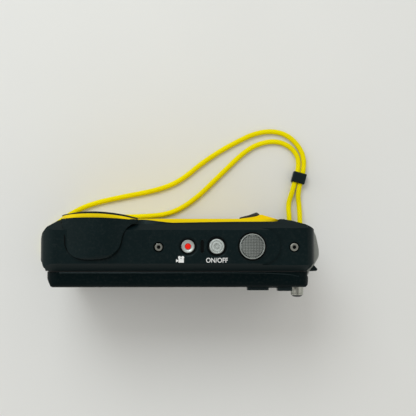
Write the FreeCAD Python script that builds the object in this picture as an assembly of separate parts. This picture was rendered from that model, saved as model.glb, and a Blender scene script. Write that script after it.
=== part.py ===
"""A compact waterproof digital camera with its wrist strap, built piece by piece.

Millimetres. +Z is up, the lens looks along -Y, the lens side is +X and the side door is at -X.
The origin is the middle of the base.
"""
import FreeCAD, Part
import math
import os

V = FreeCAD.Vector

# Overall body
END_POS = 57.9            # lens-side end of the body
END_NEG = -55.7           # door-side end of the body
DOOR_BULGE = 2.8          # the side door stands out this far
TOP_Z = 64.8              # flat top
WALL = 2.2                # shell wall
TOP_WALL = 2.6
CEILING_Z = TOP_Z - TOP_WALL
GAP = 0.1                 # clearance between pieces that meet
FRONT_Y = -14.7           # front of the yellow plate
PLATE_T = 1.8
PLATE_BACK_Y = FRONT_Y + PLATE_T
CAVITY_FRONT_Y = PLATE_BACK_Y + WALL
SLOPE_RUN = 4.7           # the front slope runs this far back to the flat top
SLOPE_Y = FRONT_Y + SLOPE_RUN
SLOPE_DROP = 5.3          # and falls this far
SHELL_REAR_Y = 6.8        # open rear of the shell
REAR_SLOPE_RUN = 3.1
SLOPE_REAR_Y = SHELL_REAR_Y - REAR_SLOPE_RUN
REAR_SLOPE_DROP = 4.4
SHELL_REAR_Z = TOP_Z - REAR_SLOPE_DROP
SHELL_CORNER = 7.0        # corner radius in front view
CAVITY_CORNER = SHELL_CORNER - 2
CAVITY_POS = END_POS - 2.3
CAVITY_NEG = END_NEG + 3.4
BASE_ROUND = 1.4          # rounding where the walls meet the base

# Lens cowl on the top
COWL_RISE = 2.8
COWL_Z = TOP_Z + COWL_RISE
COWL_ROUND = 2.0          # rounding of its top edge
COWL_DOME_R = 30.0
COWL_FRONT_Y = FRONT_Y - 0.3    # it reaches forward over the plate's top edge
COWL_BOW_R = 150.0        # its front is bowed in plan

# Lower step at the door end of the top
STEP_DEPTH = 0.9
STEP_RADIUS = 7.2

# Rear cover
GASKET = 0.4
COVER_Y = SHELL_REAR_Y + GASKET
COVER_DEPTH = 6.5
COVER_REAR_Y = COVER_Y + COVER_DEPTH
COVER_Z = SHELL_REAR_Z - 0.4
COVER_LOW = 0.4
COVER_WALL = 1.6
COVER_ROUND = 3.3
COVER_POS = END_POS - 2.0
COVER_NEG = END_NEG + 2.0
COVER_INNER_Y = COVER_REAR_Y - COVER_WALL

# Front plate
PLATE_POS = END_POS - 8.8
PLATE_NEG = END_NEG + 14.4
PLATE_LOW = 5.1
PLATE_TOP = TOP_Z - 3.5
PLATE_CORNER = 8.0
RIDGE_WIDTH = 16.9
RIDGE_END = PLATE_NEG + 0.4
RIDGE_PEAK = RIDGE_END + 7.2
RIDGE_START = RIDGE_END + RIDGE_WIDTH
RIDGE_RISE = 1.95
RIDGE_LOW = PLATE_LOW + 6.4
RIDGE_TOP = PLATE_TOP - 5.8
PAD_RISE = 0.25           # the pad stands this far out of the ridge
PAD_INSET = 2.5

# Flash window and focus lamp in the front plate
FLASH_WIDTH = 12.8
FLASH_HEIGHT = 8.6
FLASH_MIDDLE = (6.0, PLATE_TOP - 10.3)
FLASH_X = (FLASH_MIDDLE[0] - FLASH_WIDTH / 2, FLASH_MIDDLE[0] + FLASH_WIDTH / 2)
FLASH_Z = (FLASH_MIDDLE[1] - FLASH_HEIGHT / 2, FLASH_MIDDLE[1] + FLASH_HEIGHT / 2)
FLASH_CORNER = 1.4
FLASH_RIM = 1.4
FLASH_T = 0.9
FOCUS_LAMP_X = -8.0
FOCUS_LAMP_R = 1.7
LAMP_LEDGE = 0.3          # the shell holds each lamp by this ledge
REFLECTOR_INSET = 0.8
REFLECTOR_DEPTH = 5.0
REFLECTOR_TROUGH_R = 2.9
REFLECTOR_TUBE_R = 0.8

# Lens
LENS_X = 33.2
LENS_Z = PLATE_TOP - 11.3
BOSS_HALF = 15.9          # the lens boss is a square with round corners
BOSS_CORNER = 7.0
BOSS_RISE = 2.4
BOSS_Y = FRONT_Y - BOSS_RISE
BOW_R = 75.0              # boss and ring are bowed in plan
BOW_X = LENS_X + 3.3      # where the bow stands out furthest
RING_R = 15.5
RING_LIP = 0.45
RING_Y = BOSS_Y - RING_LIP
RING_FLARE = 0.5
WINDOW_R = 13.2
WINDOW_Y = FRONT_Y - 0.2
RING_INNER_R = WINDOW_R - 1.0
WINDOW_T = 1.0
BOSS_LEDGE_Z = LENS_Z + WINDOW_R + 1.0    # the cowl passes over the back of the boss above this
WINDOW_LEDGE = 1.5
LENS_BORE_R = 9.0
ELEMENT_R = 6.3
ELEMENT_T = 2.4
ELEMENT_BALL_R = 14.0

# Folded lens housing behind the plate
HOUSING_HALF = 10.0
HOUSING_WALL = 1.0
HOUSING_Y0 = CAVITY_FRONT_Y + GAP
HOUSING_Y1 = HOUSING_Y0 + 15.2
HOUSING_Z0 = WALL + 0.8
HOUSING_Z1 = CEILING_Z - 2.8
PRISM_SIDE = 11.0
LENS_AXIS_Y = (HOUSING_Y0 + HOUSING_Y1) / 2
ROD_R = 0.6
ROD_REACH = 7.6
ROD_FIT = 0.05
ROD_SEAT = 0.7            # depth of the blind holes that hold the rods
GROUP_HALF_X = ROD_REACH + 1.0
GROUP_HALF_Y = 4.6
GROUP_GLASS_R = 4.2
GROUP_GLASS_INSET = 0.8
GROUP_CLEAR = 0.6
ZOOM_H = 6.0
ZOOM_UP = 2.0
ZOOM_DOWN = 8.0
FOCUS_H = 4.0
FOCUS_TRAVEL = 2.0
FOCUS_GAP = 3.0
SHELF_T = 1.4
SHELF_TOP = LENS_Z - PRISM_SIDE / 2 - 0.5
SHELF_Z = SHELF_TOP - SHELF_T
ZOOM_Z = SHELF_Z - GROUP_CLEAR - ZOOM_UP - ZOOM_H
FOCUS_Z = ZOOM_Z - ZOOM_DOWN - FOCUS_GAP - FOCUS_TRAVEL - FOCUS_H
ROD_LOW = HOUSING_Z0 + HOUSING_WALL - ROD_SEAT
ROD_TOP = SHELF_Z + ROD_SEAT + 0.1
SENSOR_SIZE = (6.2, 4.6)
SENSOR_BASE = (13.0, 11.0, 1.2)
SENSOR_RISE = 0.4

# Controls on the top, all in one row
ROW_Y = -3.3
SHUTTER_X = -29.3
SHUTTER_R = 5.15
SHUTTER_GAP = 0.7
SHUTTER_TOP = TOP_Z + 1.7
SHUTTER_TRAVEL = 1.0
POWER_X = -14.9
POWER_R = 3.1
POWER_GAP = 0.55
POWER_TOP = TOP_Z + 0.1
POWER_DISH_R = 4.7
RECORD_X = -3.1
RECORD_R = 2.65
RECORD_GAP = 0.55
RECORD_TOP = TOP_Z - 0.1
RECORD_DISH_R = 4.3
DOT_R = 1.3
DOT_T = 0.6
DOT_SUNK = 0.4
SMALL_TRAVEL = 0.7
DISH_DEPTH = 0.6
FLANGE = 0.8
FLANGE_LIP = 0.8
CAP_EDGE = 0.3
STEM_R = 1.2
STEM_CLEAR = 0.25         # left between stem and switch at the end of the travel
SEAL_T = 0.5
LAMP_X = -8.9
LAMP_W = 1.4
LAMP_L = 5.3

TOP_BUTTONS = (
    (SHUTTER_X, SHUTTER_R, SHUTTER_GAP),
    (POWER_X, POWER_R, POWER_GAP),
    (RECORD_X, RECORD_R, RECORD_GAP),
)

# Springs under the top buttons
SPRING_WIRE = 0.35
SPRING_R = 1.9
SPRING_TURNS = 4
SPRING_SLACK = 0.1

# Screws
SCREW_X = (8.9, END_NEG + 9.0)
SCREW_Y = -3.0
SCREW_HEAD_R = 1.65
SCREW_HEAD_H = 1.2
SCREW_SHANK_R = 0.9
SCREW_SHANK = 5.0
SCREW_SUNK = 0.3          # the heads lie this far below the surface round them
BASE_SCREWS = ((END_NEG + 14.7, 1.0), (END_POS - 10.7, 0.0))
COVER_SCREW_SHANK = 12.0
COVER_SCREWS = ((COVER_NEG + 4.3, 6.5), (COVER_POS - 4.0, 7.0), (COVER_NEG + 3.4, COVER_Z - 5.5),
                (COVER_POS - 4.0, COVER_Z - 6.0))
SCREW_RECESS_R = 2.15
POST_R = 2.2
SEAT_WALL = 1.0
SCREW_ROOM = 1.0          # left past the end of each screw
SCREW_EDGE = 0.25
HEX_ACROSS = 1.5
HEX_DEPTH = 0.8

# Top switch board
BOARD_Z = CEILING_Z - 5.2
BOARD_T = 0.8
BOARD_REACH = 7.0         # past the outer buttons
BOARD_X = (SHUTTER_X - BOARD_REACH - 0.7, RECORD_X + BOARD_REACH - 0.9)
BOARD_Y = (ROW_Y - 4.7, ROW_Y + 5.3)
SWITCH_SIDE = 2.2
SWITCH_H = 1.1

# Side door, hinged on a pin in the front corner
PIN_X = END_NEG + 1.7
PIN_Y = FRONT_Y + 4.7
PIN_R = 0.75
PIN_FIT = 0.05
KNUCKLE_R = 1.7
KNUCKLE_GAP = 0.25
PIN_REACH = 2.2           # the pin runs this far into the shell at each end
DOOR_LOW = 12.2
DOOR_TOP = TOP_Z - 11.0
DOOR_GAP = 0.2
SEAT_X = END_NEG + 1.7    # recess floor that the door gasket seats on
SEAT_BACK_Y = SHELL_REAR_Y - 2.16
DOOR_GASKET = 0.6
GASKET_RIM = 0.9
MOUTH_Y = (PIN_Y + 3.1, SEAT_BACK_Y - 1.44)     # opening behind the door
MOUTH_Z = (DOOR_LOW + 1.6, DOOR_TOP - 1.6)
LATCH_LOW = 39.0
LATCH_H = 8.0
LATCH_TRAVEL = 4.0
LATCH_FIT = 0.15

# Battery, card and socket behind the door
CELL = (39.0, 5.9, 31.6)
BAY_WALL = 0.8
BAY_GAP = 0.3
BAY_X = CAVITY_NEG + 0.5
BAY_Y = MOUTH_Y[0] - BAY_WALL
BAY_Z = MOUTH_Z[0] + 0.2
BAY_X1 = BAY_X + CELL[0] + BAY_WALL + 2 * BAY_GAP
BAY_Y1 = BAY_Y + CELL[1] + 2 * (BAY_WALL + BAY_GAP)
BAY_Z1 = BAY_Z + CELL[2] + 2 * (BAY_WALL + BAY_GAP)
CELL_ROUND = 0.6
CONTACT = (0.25, 1.6)
CONTACT_STEP = 4.0
CARD = (32.0, 2.1, 24.0)
CARD_Z = BAY_Z + 3.0
CARD_CORNER = 2.5
CARD_CUT = 2.0            # the card's outer end is this much shorter than the full card
SLOT_WALL = 0.4
SLOT_FIT = 0.1
USB = (6.5, 7.4, 3.0)
USB_Y = BAY_Y + 1.7
USB_WALL = 0.4

# Rear controls
KEY_R = 2.4
KEY_PROUD = 0.6
KEY_GAP = 0.2
KEY_TRAVEL = 0.5
KEY_FLANGE = 0.7
KEY_EDGE = 0.25
KEY_STEM_R = 0.8
KEY_CLEAR = 0.1           # left between a stem and the board at the end of the travel
NAV_X = -36.0
NAV_Z = 27.0
KEYS = {
    "mode_key": (NAV_X + 8.0, NAV_Z + 13.5),
    "delete_key": (NAV_X - 6.5, NAV_Z + 13.5),
    "play_key": (NAV_X + 7.2, NAV_Z - 13.8),
    "menu_key": (NAV_X - 7.2, NAV_Z - 13.8),
}
NAV_R = 8.4
NAV_HOLE = 4.2
NAV_PROUD = 0.7
NAV_EDGE = 0.35
NAV_CROSS_T = 0.9
PIP_R = 0.5
PIP_RISE = 0.2
NAV_PIVOT_Y = COVER_INNER_Y - 0.7
OK_R = 3.6
OK_PROUD = 0.4
REAR_BOARD_SUNK = 2.9     # from the cover's inner face to the board's front face
REAR_BOARD_Y = COVER_INNER_Y - REAR_BOARD_SUNK
REAR_BOARD_T = 0.8
REAR_BOARD_REACH = (12.6, 15.5, 17.5, 19.5)    # from the ring's centre to its door, lens, low and top edges
REAR_BOARD_X = (NAV_X - REAR_BOARD_REACH[0], NAV_X + REAR_BOARD_REACH[1])
REAR_BOARD_Z = (NAV_Z - REAR_BOARD_REACH[2], NAV_Z + REAR_BOARD_REACH[3])
REAR_POST_REACH = (12.0, 14.0, 7.0)     # from the ring's centre towards the door, the lens, and up or down
REAR_POSTS = ((NAV_X + REAR_POST_REACH[1], NAV_Z + REAR_POST_REACH[2]),
              (NAV_X + REAR_POST_REACH[1], NAV_Z - REAR_POST_REACH[2]),
              (NAV_X - REAR_POST_REACH[0], NAV_Z - REAR_POST_REACH[2]))

# Zoom rocker
ROCKER_X = NAV_X - 1.35
ROCKER_Z = COVER_Z - 6.0
ROCKER_HALF = 9.45
ROCKER_H = 5.6
ROCKER_GAP = 0.2
ROCKER_HUMP_Y = COVER_REAR_Y + 1.6
ROCKER_BAR_Y = COVER_REAR_Y + 0.3
ROCKER_PIN_R = 0.6
ROCKER_PIN_Y = COVER_INNER_Y - 0.1
ROCKER_EAR = 1.4
ROCKER_CORNER = 1.0
ROCKER_HUMPS = (9.0, 6.2)     # length of the hump at each end

# Lock knob on the rear
KNOB_X = COVER_NEG + 3.5
KNOB_Z = COVER_Z - 14.5
KNOB_R = 2.75
KNOB_Y = COVER_REAR_Y + 3.1
KNOB_TIP = 1.7
KNOB_TIP_Y = KNOB_Y + KNOB_TIP
KNOB_TIP_ROUND = 1.4
KNOB_EDGE = 0.3
KNOB_SHAFT_R = 1.1
KNOB_FIT = 0.06

# Display
DISPLAY_MARGINS = (22.0, 7.8, 7.6, 8.5)   # to the ring's centre, and to the cover's lens, low and top edges
DISPLAY_X = (NAV_X + DISPLAY_MARGINS[0], COVER_POS - DISPLAY_MARGINS[1])
DISPLAY_Z = (COVER_LOW + DISPLAY_MARGINS[2], COVER_Z - DISPLAY_MARGINS[3])
DISPLAY_LIP = 1.2
DISPLAY_CORNER = 1.5
DISPLAY_WINDOW_T = 1.0
DISPLAY_PANEL_T = 1.8
DISPLAY_PANEL_GAP = 0.3
DISPLAY_SEAT_CORNER = DISPLAY_CORNER + 1.0

# Chassis
CHASSIS_Y = SHELL_REAR_Y - 1.4
CHASSIS_T = 0.8
CHASSIS_MARGINS = (3.3, 3.4, 1.2, 2.8)     # to the cavity's door and lens ends, base wall and rear edge
CHASSIS_LEDGES = (4, 8, 3)     # left at the sides, bottom and top of its window behind the rear board
MAIN_BOARD_Y = CHASSIS_Y - 1.8
MAIN_BOARD_X = (-9.0, 20.0)
MAIN_BOARD_Z = (8.0, 46.0)
CHIP_T = 1.2
MAIN_CHIPS = ((5, 17, 16, 28), (20, 26, 20, 28), (7, 15, 4, 10))    # from the board's corner, in X and Z
STANDOFF_R = 1.0
STANDOFF_INSET = 3.0

# Tripod socket, quarter-inch
TRIPOD_X = -2.0
TRIPOD_Y = -2.0
TRIPOD_R = 3.175
TRIPOD_DEPTH = 5.5
TRIPOD_FLOOR = 0.8
TRIPOD_WALL = 1.6

# Strap lug at the low front corner
LUG_X = END_NEG + 1.4
LUG_Y = FRONT_Y + 5.7
LUG_R = 2.2
LUG_PIN_R = 1.0
LUG_Z = (0.4, 1.6, 4.8, 6.6)
LINK_GAP = 0.2
LINK_SPREAD = 5.2
LINK_X = LUG_X + 1.85
LINK_LEGS = (LINK_X, LINK_X - LINK_SPREAD)
LINK_FACE_Y = LUG_Y - 5.0
LINK_BACK_Y = LINK_FACE_Y + 2.4
LINK_Z = (LUG_Z[1] + LUG_Z[2]) / 2

# Strap
CORD_D = 2.4
CORD_R = CORD_D / 2
LIFT = 0.05               # the strap lies this far above the surface
CORD_LIE = CORD_R + LIFT
BEAD_X = -57.4
BEAD_Y = -37.3
BEAD_DIR = (0.266, 0.964)
BEAD_SIZE = (6.7, 5.3, 4.2)
BEAD_Z = LIFT + BEAD_SIZE[2] / 2
BEAD_ROUND = 0.5
BEAD_STRANDS = 2.6
BEAD_FIT = 0.2


def box(x0, x1, y0, y1, z0, z1):
    return Part.makeBox(x1 - x0, y1 - y0, z1 - z0, V(x0, y0, z0))


def rod_y(x, z, r, y0, y1):
    """A cylinder along Y from y0 to y1."""
    return Part.makeCylinder(r, y1 - y0, V(x, y0, z), V(0, 1, 0))


def rod_z(x, y, r, z0, z1):
    """A cylinder along Z from z0 to z1."""
    return Part.makeCylinder(r, z1 - z0, V(x, y, z0))


def join(first, *others):
    return first.fuse(list(others)).removeSplitter()


def prism_z(points, z0, z1):
    """A prism on a plan outline of (x, y) points."""
    wire = Part.makePolygon([V(x, y, z0) for x, y in points + points[:1]])
    return Part.Face(wire).extrude(V(0, 0, z1 - z0))


def prism_x(points, x0, x1):
    """A prism on a side outline of (y, z) points."""
    wire = Part.makePolygon([V(x0, y, z) for y, z in points + points[:1]])
    return Part.Face(wire).extrude(V(x1 - x0, 0, 0))


def panel(x0, x1, z0, z1, r, y0, y1):
    """A block with rounded corners in front view."""
    block = box(x0, x1, y0, y1, z0, z1)
    corners = [e for e in block.Edges if abs(e.BoundBox.YLength - (y1 - y0)) < 1e-6 and
               e.BoundBox.XLength < 1e-6 and e.BoundBox.ZLength < 1e-6]
    return block.makeFillet(r, corners)


def soften(shape, r, pick):
    """Round the edges that pick accepts."""
    return shape.makeFillet(r, [e for e in shape.Edges if pick(e.BoundBox)])


# Outer form of the body

def body_outline():
    """Plan of the main shell, from the front corner of the lens side round to the door side."""
    p, n, f, r = END_POS, END_NEG, FRONT_Y, SHELL_REAR_Y
    return [
        (p - 7.5, f + 0.6), (p - 3.4, f + 3.3), (p - 1.1, f + 5.9), (p, f + 9.0), (p, r - 4.7),
        (p - 1.1, r - 3.5), (p - 1.6, r - 2.1), (p - 2.4, r - 0.9), (p - 2.4, r),
        (n + 3.3, r), (n + 3.2, r - 0.4), (n + 1.5, r - 2.4), (n + 0.4, r - 3.3), (n, r - 6.2),
        (n + 0.3, f + 4.2), (n + 1.0, f + 3.8), (n + 4.1, f + 2.2), (n + 9.8, f + 0.6), (n + 13.7, f),
        (p - 10.2, f),
    ]


def shell_form():
    plan = prism_z(body_outline(), 0, TOP_Z)
    side = prism_x([
        (FRONT_Y, BASE_ROUND), (FRONT_Y + BASE_ROUND, 0), (SHELL_REAR_Y - 0.8, 0),
        (SHELL_REAR_Y, COVER_LOW + 0.4), (SHELL_REAR_Y, SHELL_REAR_Z), (SLOPE_REAR_Y, TOP_Z),
        (SLOPE_Y, TOP_Z), (FRONT_Y, TOP_Z - SLOPE_DROP),
    ], END_NEG - 1, END_POS + 1)
    face = panel(END_NEG, END_POS, 0, TOP_Z, SHELL_CORNER, FRONT_Y, SHELL_REAR_Y)
    return plan.common(side).common(face)


def step_cut():
    """The door end of the top lies a little lower, beyond a round edge near the shutter."""
    x = SHUTTER_X - 4.3
    low = box(END_NEG - 1, x, FRONT_Y - 1, SHELL_REAR_Y, TOP_Z - STEP_DEPTH, TOP_Z + 1)
    return low.cut(rod_z(x, ROW_Y - GAP, STEP_RADIUS, TOP_Z - STEP_DEPTH - 1, TOP_Z + 2))


def cavity():
    p, n, f, r = CAVITY_POS, CAVITY_NEG, CAVITY_FRONT_Y, SHELL_REAR_Y
    plan = prism_z([
        (p - 6.9, f), (p - 2.9, f + 1.3), (p - 1.0, f + 2.9), (p, f + 5.5), (p, r - 5.4),
        (p - 1.1, r - 4.0), (p - 2.3, r - 1.8), (p - 2.3, r), (n + 2.1, r), (n + 1.9, r - 1.0),
        (n, r - 3.4), (n, f + 3.1), (n + 2.7, f),
    ], WALL, TOP_Z)
    side = prism_x([
        (f, WALL), (r, WALL), (r, SHELL_REAR_Z - WALL), (r - 1.9, SHELL_REAR_Z - 0.4), (r - 3.3, CEILING_Z),
        (f + 0.4, CEILING_Z), (f, CEILING_Z - 0.5),
    ], END_NEG, END_POS)
    face = panel(n, p, WALL, TOP_Z - WALL, CAVITY_CORNER, f, r)
    return plan.common(side).common(face)


def plate_outline(grow, y0, y1):
    return panel(PLATE_NEG - grow, PLATE_POS + grow, PLATE_LOW - grow, PLATE_TOP + grow,
                 PLATE_CORNER + grow, y0, y1)


def bowed(r, front):
    """Everything behind a front that is bowed in plan."""
    return rod_z(BOW_X, front + r, r, 0, TOP_Z + 10)


def boss_block(grow):
    half = BOSS_HALF + grow
    return panel(LENS_X - half, LENS_X + half, LENS_Z - half, LENS_Z + half, BOSS_CORNER + grow,
                 BOSS_Y - 1, PLATE_BACK_Y + grow / 2)


def cowl_block():
    """U-shaped in plan, widening towards the lens ring."""
    x = LENS_X
    y = PLATE_BACK_Y - GAP / 2
    points = [
        (x - 18.6, y - 2.55), (x - 14.2, y + 0.15), (x - 11.1, y + 2.5), (x - 9.6, y + 5.6),
        (x - 8.7, y + 9.5), (x - 5.8, y + 13.2), (x + 1.8, y + 15.05), (x + 9.8, y + 13.9),
        (x + 13.3, y + 10.3),
        (x + 13.9, y + 5.5), (x + 15.4, y - 0.5), (x + 15.9, y - 2.55),
    ]
    z0 = TOP_Z - SLOPE_DROP
    curve = Part.BSplineCurve()
    curve.interpolate([V(x, y, z0) for x, y in points])
    front = Part.LineSegment(V(*points[-1], z0), V(*points[0], z0))
    outline = Part.Wire([curve.toShape(), front.toShape()])
    return Part.Face(outline).extrude(V(0, 0, COWL_Z - z0))


def screw_holes_top(shape):
    """Recess and shank hole of each top screw."""
    for x in SCREW_X:
        shape = shape.cut(rod_z(x, SCREW_Y, SCREW_RECESS_R, TOP_Z - SCREW_HEAD_H - STEP_DEPTH, TOP_Z + 1))
        shape = shape.cut(rod_z(x, SCREW_Y, SCREW_SHANK_R + GAP, BOARD_Z - 1, TOP_Z))
    return shape


def front_openings(shell):
    """Seat of the yellow plate, open at the top, and the holes behind lens, flash and lamp."""
    above = box(PLATE_NEG - GAP, PLATE_POS + GAP, FRONT_Y - 3, PLATE_BACK_Y, PLATE_TOP - PLATE_CORNER, TOP_Z)
    shell = shell.cut(plate_outline(GAP, FRONT_Y - 3, PLATE_BACK_Y)).cut(above)
    y0 = PLATE_BACK_Y - 1
    y1 = CAVITY_FRONT_Y + 1
    shell = shell.cut(rod_y(LENS_X, LENS_Z, LENS_BORE_R, y0, y1))
    return shell.cut(flash_opening(y0, y1)).cut(lamp_opening(FOCUS_LAMP_R - LAMP_LEDGE, y0, y1))


def top_openings(shell):
    """Holes and dishes of the top controls, the lamp slot and the screw seats."""
    z0 = CEILING_Z - 1
    for x, r, gap in TOP_BUTTONS:
        shell = shell.cut(rod_z(x, ROW_Y, r + gap, z0, TOP_Z + 1))
    for x, r, dish in ((POWER_X, POWER_R + POWER_GAP, POWER_DISH_R),
                       (RECORD_X, RECORD_R + RECORD_GAP, RECORD_DISH_R)):
        shell = shell.cut(Part.makeCone(r, dish, DISH_DEPTH, V(x, ROW_Y, TOP_Z - DISH_DEPTH)))
    shell = shell.cut(lamp_form(GAP / 2, z0))
    return screw_holes_top(join(shell, *[
        rod_z(x, SCREW_Y, SCREW_RECESS_R + SEAT_WALL, CEILING_Z - SEAT_WALL - SCREW_HEAD_H,
              TOP_Z - STEP_DEPTH - 0.5)
        for x in SCREW_X]))


def screw_bosses(shell):
    """Posts for the cover and base screws, the tripod boss and the block at the strap corner."""
    corner = box(END_NEG + 0.6, CAVITY_NEG + 2.7, PLATE_BACK_Y - 0.1, LUG_Y + 4.5, WALL - 1, LUG_Z[3] + 2.4)
    tripod = rod_z(TRIPOD_X, TRIPOD_Y, TRIPOD_R + 2 * TRIPOD_WALL, WALL - 1, TRIPOD_DEPTH + 2)
    base = [rod_z(x, y, POST_R, WALL - 1, SCREW_HEAD_H + SCREW_SHANK + 1) for x, y in BASE_SCREWS]
    bosses = [rod_y(x, z, POST_R, CAVITY_FRONT_Y - 0.5, CHASSIS_Y) for x, z in COVER_SCREWS]
    shell = join(shell, corner.common(shell_form()), tripod, *bosses, *base)
    for x, z in COVER_SCREWS:
        end = COVER_REAR_Y - SCREW_SUNK - SCREW_HEAD_H - COVER_SCREW_SHANK - SCREW_ROOM
        shell = shell.cut(rod_y(x, z, SCREW_SHANK_R + GAP, end, SHELL_REAR_Y + 1))
    for x, y in BASE_SCREWS:
        shell = shell.cut(rod_z(x, y, SCREW_RECESS_R, -1, SCREW_SUNK + SCREW_HEAD_H))
        shell = shell.cut(rod_z(x, y, SCREW_SHANK_R + GAP, -1, SCREW_HEAD_H + SCREW_SHANK + SCREW_ROOM))
    return shell.cut(rod_z(TRIPOD_X, TRIPOD_Y, TRIPOD_R + TRIPOD_WALL, -1, TRIPOD_DEPTH))


def main_shell():
    shell = shell_form().cut(step_cut()).cut(cavity())
    return door_cuts(lug_cuts(screw_bosses(top_openings(front_openings(shell)))))


def door_cuts(shell):
    z0 = DOOR_LOW - DOOR_GAP
    z1 = DOOR_TOP + DOOR_GAP
    recess = box(END_NEG - 2, SEAT_X, PIN_Y - 3, SEAT_BACK_Y, z0, z1)
    knuckle = rod_z(PIN_X, PIN_Y, KNUCKLE_R + KNUCKLE_GAP, z0, z1)
    mouth = box(END_NEG - 2, CAVITY_NEG + 3.3, *MOUTH_Y, *MOUTH_Z)
    return shell.cut(recess).cut(knuckle).cut(mouth).cut(door_pin())


def lug_cuts(shell):
    """Notch at the low front corner, with an ear below and above for the strap pin."""
    low, floor, ceiling, top = LUG_Z
    notch = box(END_NEG - 4, LUG_X + LUG_R + 1.1, FRONT_Y - 1.3, LUG_Y + LUG_R + 0.4, floor, ceiling)
    ears = [rod_z(LUG_X, LUG_Y, LUG_R, low, floor), rod_z(LUG_X, LUG_Y, LUG_R, ceiling, top)]
    return join(shell.cut(notch), *ears).cut(strap_pin())


def lens_cowl():
    block = soften(cowl_block(), COWL_ROUND, lambda b: b.ZMin > COWL_Z - 0.01 and b.YMax > 0)
    dome = rod_y(LENS_X + 0.3, COWL_Z - COWL_DOME_R, COWL_DOME_R, COWL_FRONT_Y - 1, SHELL_REAR_Y)
    plate_edge = box(PLATE_NEG, PLATE_POS, COWL_FRONT_Y - 1, PLATE_BACK_Y + GAP / 2, 0, PLATE_TOP + GAP)
    boss_edge = boss_block(GAP).common(box(0, END_POS, BOSS_Y - 2, 0, 0, BOSS_LEDGE_Z + GAP))
    cowl = block.common(dome).common(bowed(COWL_BOW_R, COWL_FRONT_Y)).cut(shell_form())
    return cowl.cut(plate_edge).cut(boss_edge)


def cover_outline():
    p, n, r = COVER_POS, COVER_NEG, COVER_REAR_Y
    return [
        (p, COVER_Y), (p, r - 4.2), (p - 2.1, r - 0.5), (p - 2.7, r), (n + 1.8, r), (n + 0.5, r - 1.0),
        (n, r - 3.0), (n + 0.2, r - 4.15), (n + 0.8, r - 5.0), (n + 0.45, COVER_Y),
    ]


def cover_form():
    plan = prism_z(cover_outline(), COVER_LOW, COVER_Z)
    rounded = box(COVER_NEG - 1, COVER_POS + 1, COVER_Y, COVER_REAR_Y, COVER_LOW, COVER_Z)
    rounded = soften(rounded, COVER_ROUND, lambda b: b.YMin > COVER_REAR_Y - 0.01 and b.ZLength < 0.01)
    face = panel(COVER_NEG, COVER_POS, COVER_LOW, COVER_Z, SHELL_CORNER - 1, COVER_Y, COVER_REAR_Y)
    return plan.common(rounded).common(face)


def rear_cover():
    inner = panel(COVER_NEG + 2.4, COVER_POS - 2.1, WALL, COVER_Z - COVER_WALL, CAVITY_CORNER,
                  COVER_Y - 1, COVER_INNER_Y)
    cover = cover_form().cut(inner)
    # display opening with a seat for the window
    x0, x1 = DISPLAY_X
    z0, z1 = DISPLAY_Z
    cover = cover.cut(panel(x0, x1, z0, z1, DISPLAY_CORNER, COVER_INNER_Y - 1, COVER_REAR_Y + 1))
    cover = cover.cut(display_seat(GAP / 2, COVER_REAR_Y - DISPLAY_WINDOW_T))
    for x, z in KEYS.values():
        cover = cover.cut(rod_y(x, z, KEY_R + KEY_GAP, COVER_Y, COVER_REAR_Y + 1))
    cover = cover.cut(rod_y(NAV_X, NAV_Z, NAV_R + 2 * KEY_GAP, COVER_Y, COVER_REAR_Y + 1))
    # rocker slot and the two ears that hold its pin
    half = ROCKER_H / 2 + ROCKER_GAP
    slot = panel(ROCKER_X - ROCKER_HALF - ROCKER_GAP, ROCKER_X + ROCKER_HALF + ROCKER_GAP, ROCKER_Z - half,
                 ROCKER_Z + half, ROCKER_CORNER + ROCKER_GAP, COVER_INNER_Y - 1, COVER_REAR_Y + 1)
    ear = (ROCKER_X - ROCKER_EAR, ROCKER_X + ROCKER_EAR, ROCKER_PIN_Y - ROCKER_EAR, COVER_INNER_Y + 0.3)
    ears = [box(*ear, ROCKER_Z - half - ROCKER_EAR, ROCKER_Z - half),
            box(*ear, ROCKER_Z + half, ROCKER_Z + half + ROCKER_EAR)]
    board_posts = [rod_y(x, z, STANDOFF_R, REAR_BOARD_Y + REAR_BOARD_T, COVER_INNER_Y + 0.4)
                   for x, z in REAR_POSTS]
    screw_posts = [rod_y(x, z, POST_R + 0.4, COVER_Y, COVER_INNER_Y + 0.4) for x, z in COVER_SCREWS]
    cover = join(cover.cut(slot), *ears, *board_posts, *screw_posts)
    cover = cover.cut(rocker_pin())
    cover = cover.cut(rod_y(KNOB_X, KNOB_Z, KNOB_SHAFT_R + KNOB_FIT, COVER_Y, COVER_REAR_Y + 1))
    for x, z in COVER_SCREWS:
        seat_y = COVER_REAR_Y - SCREW_SUNK - SCREW_HEAD_H
        cover = cover.cut(rod_y(x, z, SCREW_RECESS_R, seat_y, COVER_REAR_Y + 1))
        cover = cover.cut(rod_y(x, z, SCREW_SHANK_R + GAP, COVER_Y - 1, COVER_REAR_Y))
    return cover


def display_seat(grow, y0):
    return panel(DISPLAY_X[0] - DISPLAY_LIP - grow, DISPLAY_X[1] + DISPLAY_LIP + grow,
                 DISPLAY_Z[0] - DISPLAY_LIP - grow, DISPLAY_Z[1] + DISPLAY_LIP + grow, DISPLAY_SEAT_CORNER,
                 y0, COVER_REAR_Y)


def body_gasket():
    """A thin seal that fills the seam between shell and cover."""
    ring = panel(COVER_NEG + 0.8, COVER_POS - 0.4, COVER_LOW + 0.6, COVER_Z - 0.3, SHELL_CORNER - 1.2,
                 SHELL_REAR_Y, COVER_Y)
    hole = panel(COVER_NEG + 2.5, COVER_POS - 2.1, WALL, COVER_Z - WALL + 0.2, CAVITY_CORNER,
                 SHELL_REAR_Y - 1, COVER_Y + 1)
    ring = ring.cut(hole)
    for x, z in COVER_SCREWS:
        ring = ring.cut(rod_y(x, z, SCREW_SHANK_R + GAP, SHELL_REAR_Y - 1, COVER_Y + 1))
    return ring


# Front pieces

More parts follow.
